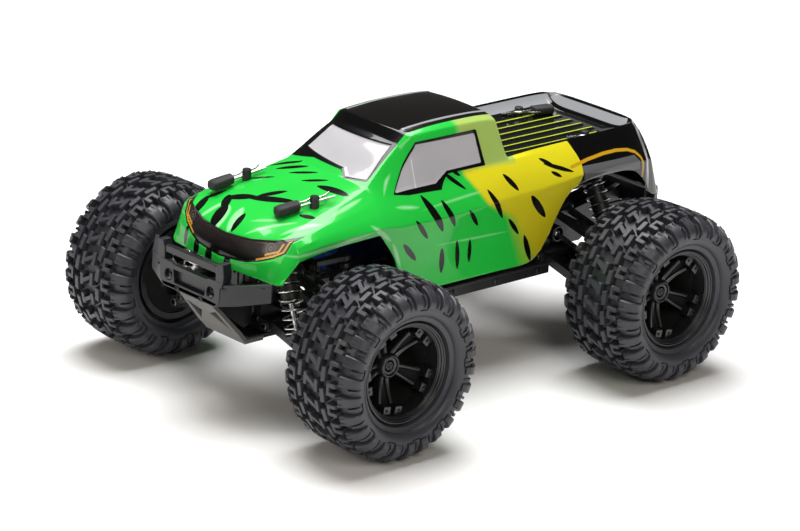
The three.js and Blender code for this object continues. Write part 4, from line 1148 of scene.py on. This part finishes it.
def holed_panel(shape, outline, holes, axis, start, end):
    """A flat panel with round or square holes, made by filling the space between its outline and theirs."""
    work = bmesh.new()
    loops = []
    for points in [outline] + holes:
        made = [work.verts.new((a, b, 0)) for a, b in points]
        loops += [work.edges.new((made[i], made[(i + 1) % len(made)])) for i in range(len(made))]
    bmesh.ops.triangle_fill(work, use_beauty=True, use_dissolve=False, edges=loops)
    work.verts.index_update()
    flat = [(v.co.x, v.co.y) for v in work.verts]
    faces = [[v.index for v in face.verts] for face in work.faces]
    rims = [(e.verts[0].index, e.verts[1].index) for e in work.edges if len(e.link_faces) == 1]
    work.free()
    place = {
        "x": lambda a, b, d: (d, a, b),
        "y": lambda a, b, d: (a, d, b),
        "z": lambda a, b, d: (a, b, d),
    }[axis]
    count = len(flat)
    points = [place(a, b, start) for a, b in flat] + [place(a, b, end) for a, b in flat]
    solid = faces + [[i + count for i in reversed(face)] for face in faces]
    solid += [(a, b, b + count, a + count) for a, b in rims]
    return shape.add(points, solid)


def circle(centre, radius, count=24):
    return [(centre[0] + radius * math.cos(2 * math.pi * k / count),
             centre[1] + radius * math.sin(2 * math.pi * k / count)) for k in range(count)]


def build_front_bumper():
    panel = mirror_pairs([(20.5, 62.8), (22.6, 66), (23.2, 76.5), (14, 76), (12.6, 75.2)])
    window = [(-11.4, 66.2), (11.4, 66.2), (12.4, 72.6), (-12.4, 72.6)]
    shape = holed_panel(Shape(), panel, [circle((15.9, 69.2), 2.9), circle((-15.9, 69.2), 2.9), window],
                        "y", -142, -139.2)
    shape.prism(mirror_pairs([(19.5, 62.5), (21.5, 65), (12.6, 65.4)]), "y", -142, -134)
    shape.block((-13.5, -139.6, 64.5), (13.5, -138.8, 74.5))
    shape.prism(mirror_pairs([(20.5, 79.6), (20.5, 83), (14, 83.4)]), "y", -141.4, -138.4)
    for side in (-1, 1):
        ear = [(side * 19.4, 74), (side * 24, 73), (side * 25.4, 79), (side * 24.6, 85.5),
               (side * 21, 85.5), (side * 19.4, 82)]
        shape.prism(ear, "y", -141.9, -136.6)
        low, high = [], []
        for x, y in ((21, -142), (33, -138.4), (44.6, -127.6), (43.2, -126), (32, -135.4), (21, -138.4)):
            reach = (x - 21) / 24
            low.append((side * x, y, 63.2 + 6.2 * reach))
            high.append((side * x, y, 74.6 + 4.2 * reach))
        shape.rings([low, high])
        recess = Shape().rings([[(side * x, y, z) for x, y, z in ring] for ring in (
            [(24, -142.1, 71.6), (42, -130.6, 75.8), (42, -130.6, 77), (24, -142.1, 73.4)],
            [(24, -140.6, 71.6), (42, -129.1, 75.8), (42, -129.1, 77), (24, -140.6, 73.4)])])
        shape.merge(recess)
        shape.block((side * 14 - 2.5, -139, 63.5), (side * 14 + 2.5, -116, 68))
    shape.prism([(-139, 63), (-139, 70), (-118, 64), (-108, 60), (-108, 44), (-113, 42)], "x", -7.5, 7.5)
    piece("front_bumper_bar", shape, CHARCOAL, "chassis", bevel=0.5,
          stands_for=("front_bumper",))
    for side in (-1, 1):
        screw = button_screw((side * 9, -142.0, 64.0), "-y", 1.5, 0.8)
        piece(f"bumper_screw_{'left' if side > 0 else 'right'}", screw, SCREW, "chassis")


def build_skid_plate():
    outline = mirror_pairs([(15.4, 0), (16, 8), (12.6, 31.8)])
    holes = [[(side * 11.6, 9), (side * 3.2, 20), (side * 11, 24.5)] for side in (-1, 1)]
    shape = holed_panel(Shape(), outline, holes, "z", -1.1, 1.1)
    lengthwise = Vector((0, -138.2 + 117, 62.4 - 38.1)).normalized()
    up = Vector((0, -lengthwise.z, lengthwise.y)) * -1
    start = Vector((0, -117, 38.1))
    shape.moved(lambda a, b, d: start + Vector((a, 0, 0)) + lengthwise * b + up * d)
    shape.block((-15, -118, 37.0), (15, -106, 39.4))
    piece("front_skid", shape, SKID, "chassis", bevel=0.35, stands_for=("skid_plate",))


def build_rear_bumper():
    shape = Shape().prism(mirror_pairs([(30, 150), (29, 153.5), (25.4, 157), (12, 159)]), "z", 62.4, 72.6)
    shape.block((-26, 146.6, 62), (26, 151.4, 73))
    shape.prism(mirror_pairs([(20, 158.3), (12, 159.4)]), "z", 65, 70)
    for side in (-1, 1):
        brace = [(108, 44), (118, 44), (149, 62), (149, 71), (130, 66), (108, 62)]
        shape.prism(brace, "x", side * 8, side * 4.6)
        shape.block((side * 16 - 1, 118, 62.6), (side * 16 + 1, 150, 65))
    shape.prism([(108, 44), (118, 44), (149, 62), (149, 64.6), (117, 47)], "x", -5, 5)
    shape.block((-5, 106.4, 44), (5, 108.6, 60))
    piece("rear_bumper_bar", shape, CHARCOAL, "chassis", bevel=0.5,
          stands_for=("rear_bumper",))


# ---------------------------------------------------------------- chassis and bulkheads

MOTOR_AXIS = (middle("motor").x, 62.7)
SHAFT_Z = 55.5
FLOOR = (37.0, 39.5)


def build_chassis():
    floor_edge = mirror_pairs([(13, -114), (13, -62), (20, -52), (20, 64), (13, 72), (13, 114)])
    slots = [mirror_pairs([(3, y), (3, y + 9)]) for y in (-50, -34, -18, -2, 14, 30)]
    shape = holed_panel(Shape(), floor_edge, slots, "z", *FLOOR)
    for side in (-1, 1):
        section = [(18, 37), (21, 37), (40, 46), (40, 50.8), (40.8, 51.2), (40.8, 52.4), (37.6, 52.4),
                   (37.6, 48.4), (20, 39.5), (18, 39.5)]
        shape.prism([(side * x, z) for x, z in section], "y", -44, 64)
        for y in range(-40, 62, 10):
            gusset = [(side * 24, 40.6), (side * 38, 47.4), (side * 38, 51), (side * 24, 42.6)]
            shape.prism(gusset, "y", y, y + 1.4)
        for y in (-43.9, 62.5):
            end_wall = [(side * 20, 38), (side * 39, 46.4), (side * 39, 50), (side * 20, 42)]
            shape.prism(end_wall, "y", y, y + 1.4)
    for low, high, y0, y1 in ((-31, -10, -36, 32), (10, 30, -29, 3)):
        shape.block((low, y0, 38), (high, y1, 45))
        shape.block((low, y0 - 1.6, 38), (high, y0 - 0.3, 49))
        shape.block((low, y1 + 0.3, 38), (high, y1 + 1.6, 49))
    plate = [(-12, 38), (20, 38), (33, 44.6), (33, 64), (30, 71), (24, 76), (8, 76), (-2, 70), (-12, 60)]
    holed_panel(shape, plate, [circle((0, SHAFT_Z), 3), circle(MOTOR_AXIS, 6)], "y", 56.6, 59)
    piece("chassis_tub", shape, BLACK, "chassis", bevel=0.35, stands_for=("chassis",))
    for side in (-1, 1):
        name = "left" if side > 0 else "right"
        screws = Shape()
        for y in (-34, -4, 26, 56):
            screws.merge(button_screw((side * 40, y, 48.6), "x" if side > 0 else "-x", 1.6, 0.8))
        piece(f"chassis_side_screws_{name}", screws, SCREW, "chassis")
        motor_screw = button_screw((MOTOR_AXIS[0], 59, MOTOR_AXIS[1] + side * 9), "y", 1.6, 1.2)
        piece(f"motor_screw_{name}", motor_screw, SCREW, "chassis")


def rounded_ear(reach, z, radius=3.1):
    """A lug in the XZ plane, from the gear case to a half circle round the pin at x = reach."""
    turns = np.linspace(-math.pi / 2, math.pi / 2, 11)
    tip = [(reach + radius * math.cos(a), z + radius * math.sin(a)) for a in turns]
    return [(8, z - radius - 1.2)] + tip + [(8, z + radius + 1.2)]


def gear_case_shape():
    side = [(8, 39.8), (11.5, 43), (11.5, 69), (8, 72.5)]
    core = [(7.6, 40.2), (11.1, 43.2), (11.1, 68.8), (7.6, 72.1)]
    shape = Shape()
    shape.prism(mirror_pairs(side), "y", -12.6, -0.25).prism(mirror_pairs(side), "y", 0.25, 12.6)
    shape.prism(mirror_pairs(core), "y", -1, 1)
    for x in (-7, -2.4, 2.4, 7):
        shape.block((x - 0.6, 12, 58), (x + 0.6, 13.2, 71))
    boss = [(2.7, -13.4), (6.2, -13.4), (6.8, -12.8), (6.8, -11), (2.7, -11)]
    shape.lathe(boss, (0, 0, SHAFT_Z), "y", 32)
    shape.lathe([(0.01, 12), (6.8, 12), (6.8, 13.2), (6.2, 13.8), (0.01, 13.8)], (0, 0, 50.5), "y", 32)
    for mirror in (-1, 1):
        for z, y in ((LOWER_PIN.z, 10.3), (UPPER_PIN.z, 6.3)):
            for y0 in (y, -y - 2.5):
                ear = [(mirror * x, height) for x, height in rounded_ear(LOWER_PIN.x, z)]
                shape.prism(ear, "y", y0, y0 + 2.5)
    return shape


def shock_tower_shape(top, post_x, post_y, post_top):
    """Plate that carries the shocks' tops, with the two body posts on its shoulders."""
    outline = mirror_pairs([(9, 67), (11, 77), (16.5, 83.4), (28.4, 85.4), (29.4, 88), (28.6, 94.2),
                            (24, 95.6), (15, 95.2), (10.5, 93), (5.5, 92.2)])
    holes = []
    for side in (-1, 1):
        holes.append([(side * 2.2, 75.5), (side * 7.6, 77), (side * 12, 84.4), (side * 10.6, 88.6),
                      (side * 2.2, 88.6)])
        holes.append(circle((side * (top.x - 5), top.z - 1.4), 1.25, 16))
        holes.append(circle((side * (top.x + 4.6), top.z - 2.2), 1.25, 16))
    shape = holed_panel(Shape(), outline, holes, "y", 4.9, 7.6)
    for side in (-1, 1):
        shape.block((side * post_x - 2.6, min(post_y, 5), 84.4),
                    (side * post_x + 2.6, max(post_y, 7.4), 88.6))
        profile = [(0.01, 83.4), (2.7, 83.4), (3.1, 84), (3.1, 88.4), (2.6, 90), (2.3, 92),
                   (2.3, post_top - 0.5), (1.9, post_top), (0.01, post_top)]
        shape.lathe(profile, (side * post_x, post_y, 0), "z", 28)
        shape.block((side * 10 - 1.4, 3, 66), (side * 10 + 1.4, 5.2, 76))
    return shape


def build_bulkhead(end_name):
    end = 1 if end_name == "rear" else -1
    place = lambda x, y, z: (x, end * (AXLE_Y + y), z)
    top = joint_mm(f"{end_name}_left_shock_tilt")
    post_x, post_y = CLIP_POSTS[f"{end_name}_left"][:2]
    post_top = box_mm(f"{end_name}_bulkhead")[1].z
    case = gear_case_shape()
    case.merge(shock_tower_shape(top, post_x, end * post_y - AXLE_Y, post_top))
    piece(f"{end_name}_gear_case", case.moved(place), BLACK, "chassis", bevel=0.35,
          stands_for=(f"{end_name}_bulkhead",))
    cups, pins, screws = Shape(), Shape(), Shape()
    for side in (-1, 1):
        cup = [(0.01, 10), (4.1, 10), (4.4, 10.4), (4.4, 16.5), (4.1, 16.9), (3.4, 16.9), (3.4, 11.8),
               (0.01, 11.8)]
        cups.lathe([(r, side * x) for r, x in cup], (0, 0, AXLE_Z + DROP), "x", 32)
        pins.merge(hinge_pin(side * UPPER_PIN.x, UPPER_PIN.z, -9.6, 9.6))
        for z in (46.5, 66):
            screws.merge(button_screw((side * 8.6, 12.6, z), "y", 1.6, 1.0))
        screws.merge(button_screw((side * 6, 7.6, 70.6), "y", 1.7, 1.1))
    piece(f"{end_name}_outdrive_cups", cups.moved(place), SCREW, "chassis")
    piece(f"{end_name}_upper_hinge_pins", pins.moved(place), STEEL, "chassis", bevel=0.1)
    piece(f"{end_name}_case_screws", screws.moved(place), SCREW, "chassis")


# ---------------------------------------------------------------- body clips

CLIP_REACH = 10.5
# each clip's post x and y, height, turn of the sleeve about the post in degrees, fall towards the sleeve
CLIP_POSTS = {
    "front_left": (25.6, -86.4, 107.2, -108, 0.2),
    "front_right": (-25.6, -86.4, 107.2, -100, 0.2),
    "rear_left": (24.6, 99.2, 109.4, 74, 0),
    "rear_right": (-24.6, 99.2, 109.4, 78, 0),
}


def clip_frame(x, y, z, turn, fall):
    """Turns clip coordinates (towards the sleeve, sideways, up) into the frame's."""
    c, s = math.cos(math.radians(turn)), math.sin(math.radians(turn))
    return lambda u, v, w: (x + u * c - v * s, y + u * s + v * c, z + w - u * fall)


def build_clip(name, x, y, z, turn, fall):
    place = clip_frame(x, y, z, turn, fall)
    straight = [(-CLIP_REACH, 0.0, 0.2), (6.5, 0.0, 0.2)]
    turns = np.linspace(math.radians(110), math.radians(-110), 9)
    loop = [(9.5 + 3 * math.cos(a), -2.2 + 2.3 * math.sin(a), 0.2) for a in turns]
    bent = [(5.0, -3.2, 0.5), (2.8, -2.4, 1.0), (1.4, -3.3, 1.1), (-1.4, -3.3, 1.1), (-2.8, -2.0, 1.0),
            (-6.0, -2.4, 0.9), (-9.0, -4.2, 1.2)]
    wire = Shape().tube(straight + loop + bent, 0.62, 12)
    piece(f"{name}_clip", wire.moved(place), WIRE, "chassis", smooth_angle=50)
    sleeve = Shape()
    sections = [(7.6, 2.4, 1.8), (8.0, 3.2, 2.3), (12, 3.6, 2.4), (17.5, 3.8, 2.4), (19.4, 3.4, 2.1),
                (19.8, 2.4, 1.5)]
    rings = []
    for u, half, rise in sections:
        turns = [2 * math.pi * k / 24 for k in range(24)]
        rings.append([(u, -1.2 + half * math.copysign(abs(math.cos(t)) ** 0.6, math.cos(t)),
                       0.4 + rise * math.copysign(abs(math.sin(t)) ** 0.6, math.sin(t))) for t in turns])
    sleeve.rings(rings)
    piece(f"{name}_clip_sleeve", sleeve.moved(place), SLEEVE, "chassis", smooth_angle=50)


# ---------------------------------------------------------------- set, lights and camera

CAMERA_TURN, CAMERA_RISE, CAMERA_ROLL = 46.785, 19.214, 3.201       # degrees
CAMERA_TARGET = Vector((18.0, -20.3, 59.7)) * MM
CAMERA_DISTANCE = 1.775
CAMERA_LENS = 159.3


def build_camera():
    az, el, roll = (math.radians(a) for a in (CAMERA_TURN, CAMERA_RISE, CAMERA_ROLL))
    back = Vector((math.sin(az) * math.cos(el), -math.cos(az) * math.cos(el), math.sin(el)))
    right = (-back).cross(Vector((0, 0, 1))).normalized()
    up = right.cross(-back)
    across = right * math.cos(roll) + up * math.sin(roll)
    upward = up * math.cos(roll) - right * math.sin(roll)
    lens = bpy.data.cameras.new("camera")
    lens.lens = CAMERA_LENS
    lens.sensor_width = 36
    lens.clip_end = 50
    made = bpy.data.objects.new("camera", lens)
    made.matrix_world = Matrix.Translation(CAMERA_TARGET + ORIGIN * MM + back * CAMERA_DISTANCE) @ Matrix(
        (across, upward, back)).transposed().to_4x4()
    bpy.context.collection.objects.link(made)
    bpy.context.scene.camera = made


def softbox(name, place, size, power, colour=(1, 1, 1)):
    light = bpy.data.lights.new(name, "AREA")
    light.shape = "RECTANGLE"
    light.size, light.size_y = size
    light.energy = power
    light.color = colour
    made = bpy.data.objects.new(name, light)
    made.location = place
    made.rotation_euler = (Vector((0, 0, 0.05)) - Vector(place)).to_track_quat("-Z", "Y").to_euler()
    bpy.context.collection.objects.link(made)


BACKDROP_FADE = (0.7, 2.4)          # metres from the truck over which the floor turns plain white
SKY_TINT = rgb(1.0, 0.93, 0.82)
SKY_STRENGTH = 0.07


def build_set():
    """White paper with soft lights; away from the truck, floor and sky are white to the camera only."""
    floor = bpy.data.meshes.new("floor")
    half = 30
    corners = [(-half, -half, 0), (half, -half, 0), (half, half, 0), (-half, half, 0)]
    floor.from_pydata(corners, [], [(0, 1, 2, 3)])
    paper, tree, shader = new_material("studio_paper")
    shader.inputs["Base Color"].default_value = rgb(0.93, 0.93, 0.93)
    shader.inputs["Roughness"].default_value = 0.9
    place = node(tree, "ShaderNodeNewGeometry").outputs["Position"]
    distance = node(tree, "ShaderNodeVectorMath", {0: place}, operation="LENGTH").outputs[1]
    seen = node(tree, "ShaderNodeLightPath").outputs["Is Camera Ray"]
    glow = math_node(tree, "MULTIPLY", seen, ramp(tree, distance, *BACKDROP_FADE))
    shader.inputs["Emission Color"].default_value = rgb(1, 1, 1)
    tree.links.new(glow, shader.inputs["Emission Strength"])
    floor.materials.append(paper)
    made = bpy.data.objects.new("floor", floor)
    bpy.context.collection.objects.link(made)
    world = bpy.data.worlds.new("studio")
    bpy.context.scene.world = world
    world.use_nodes = True
    tree = world.node_tree
    sky = tree.nodes["Background"]
    seen = node(tree, "ShaderNodeLightPath").outputs["Is Camera Ray"]
    tree.links.new(mix_colour(tree, seen, SKY_TINT, rgb(1, 1, 1)), sky.inputs["Color"])
    tree.links.new(ramp(tree, seen, 0, 1, SKY_STRENGTH, 1.0), sky.inputs["Strength"])
    softbox("overhead", (-0.3, 0.15, 1.6), (1.3, 1.3), 46)
    softbox("front_left", (1.5, -0.6, 1.2), (0.9, 0.9), 10, (1, 0.93, 0.84))
    softbox("nose_side", (-0.5, -1.6, 0.9), (0.9, 0.7), 7, (1, 0.93, 0.84))
    scene = bpy.context.scene
    scene.view_settings.view_transform = "Standard"
    scene.view_settings.look = "None"
    scene.view_settings.exposure = 0
    scene.view_settings.gamma = 1


# ---------------------------------------------------------------- the truck

for end_name in ("front", "rear"):
    for side_name in ("left", "right"):
        build_corner(end_name, side_name)
build_shell()
build_front_bumper()
build_skid_plate()
build_rear_bumper()
build_chassis()
build_bulkhead("front")
build_bulkhead("rear")
for clip_name, clip_place in CLIP_POSTS.items():
    build_clip(clip_name, *clip_place)

PAINTED = {
    "motor": CAN,
    "battery": WRAP,
    "speed_controller": BLACK,
    "steering_servo": BLACK,
    "servo_horn": NYLON,
    "steering_link": NYLON,
    "tie_rod_left": BLACK,
    "tie_rod_right": BLACK,
    "spur_gear": NYLON,
    "centre_shaft": STEEL,
    "pinion": BRASS,
}
for painted_node, painted_material in PAINTED.items():
    paint_node(painted_node, painted_material)

build_set()
build_camera()
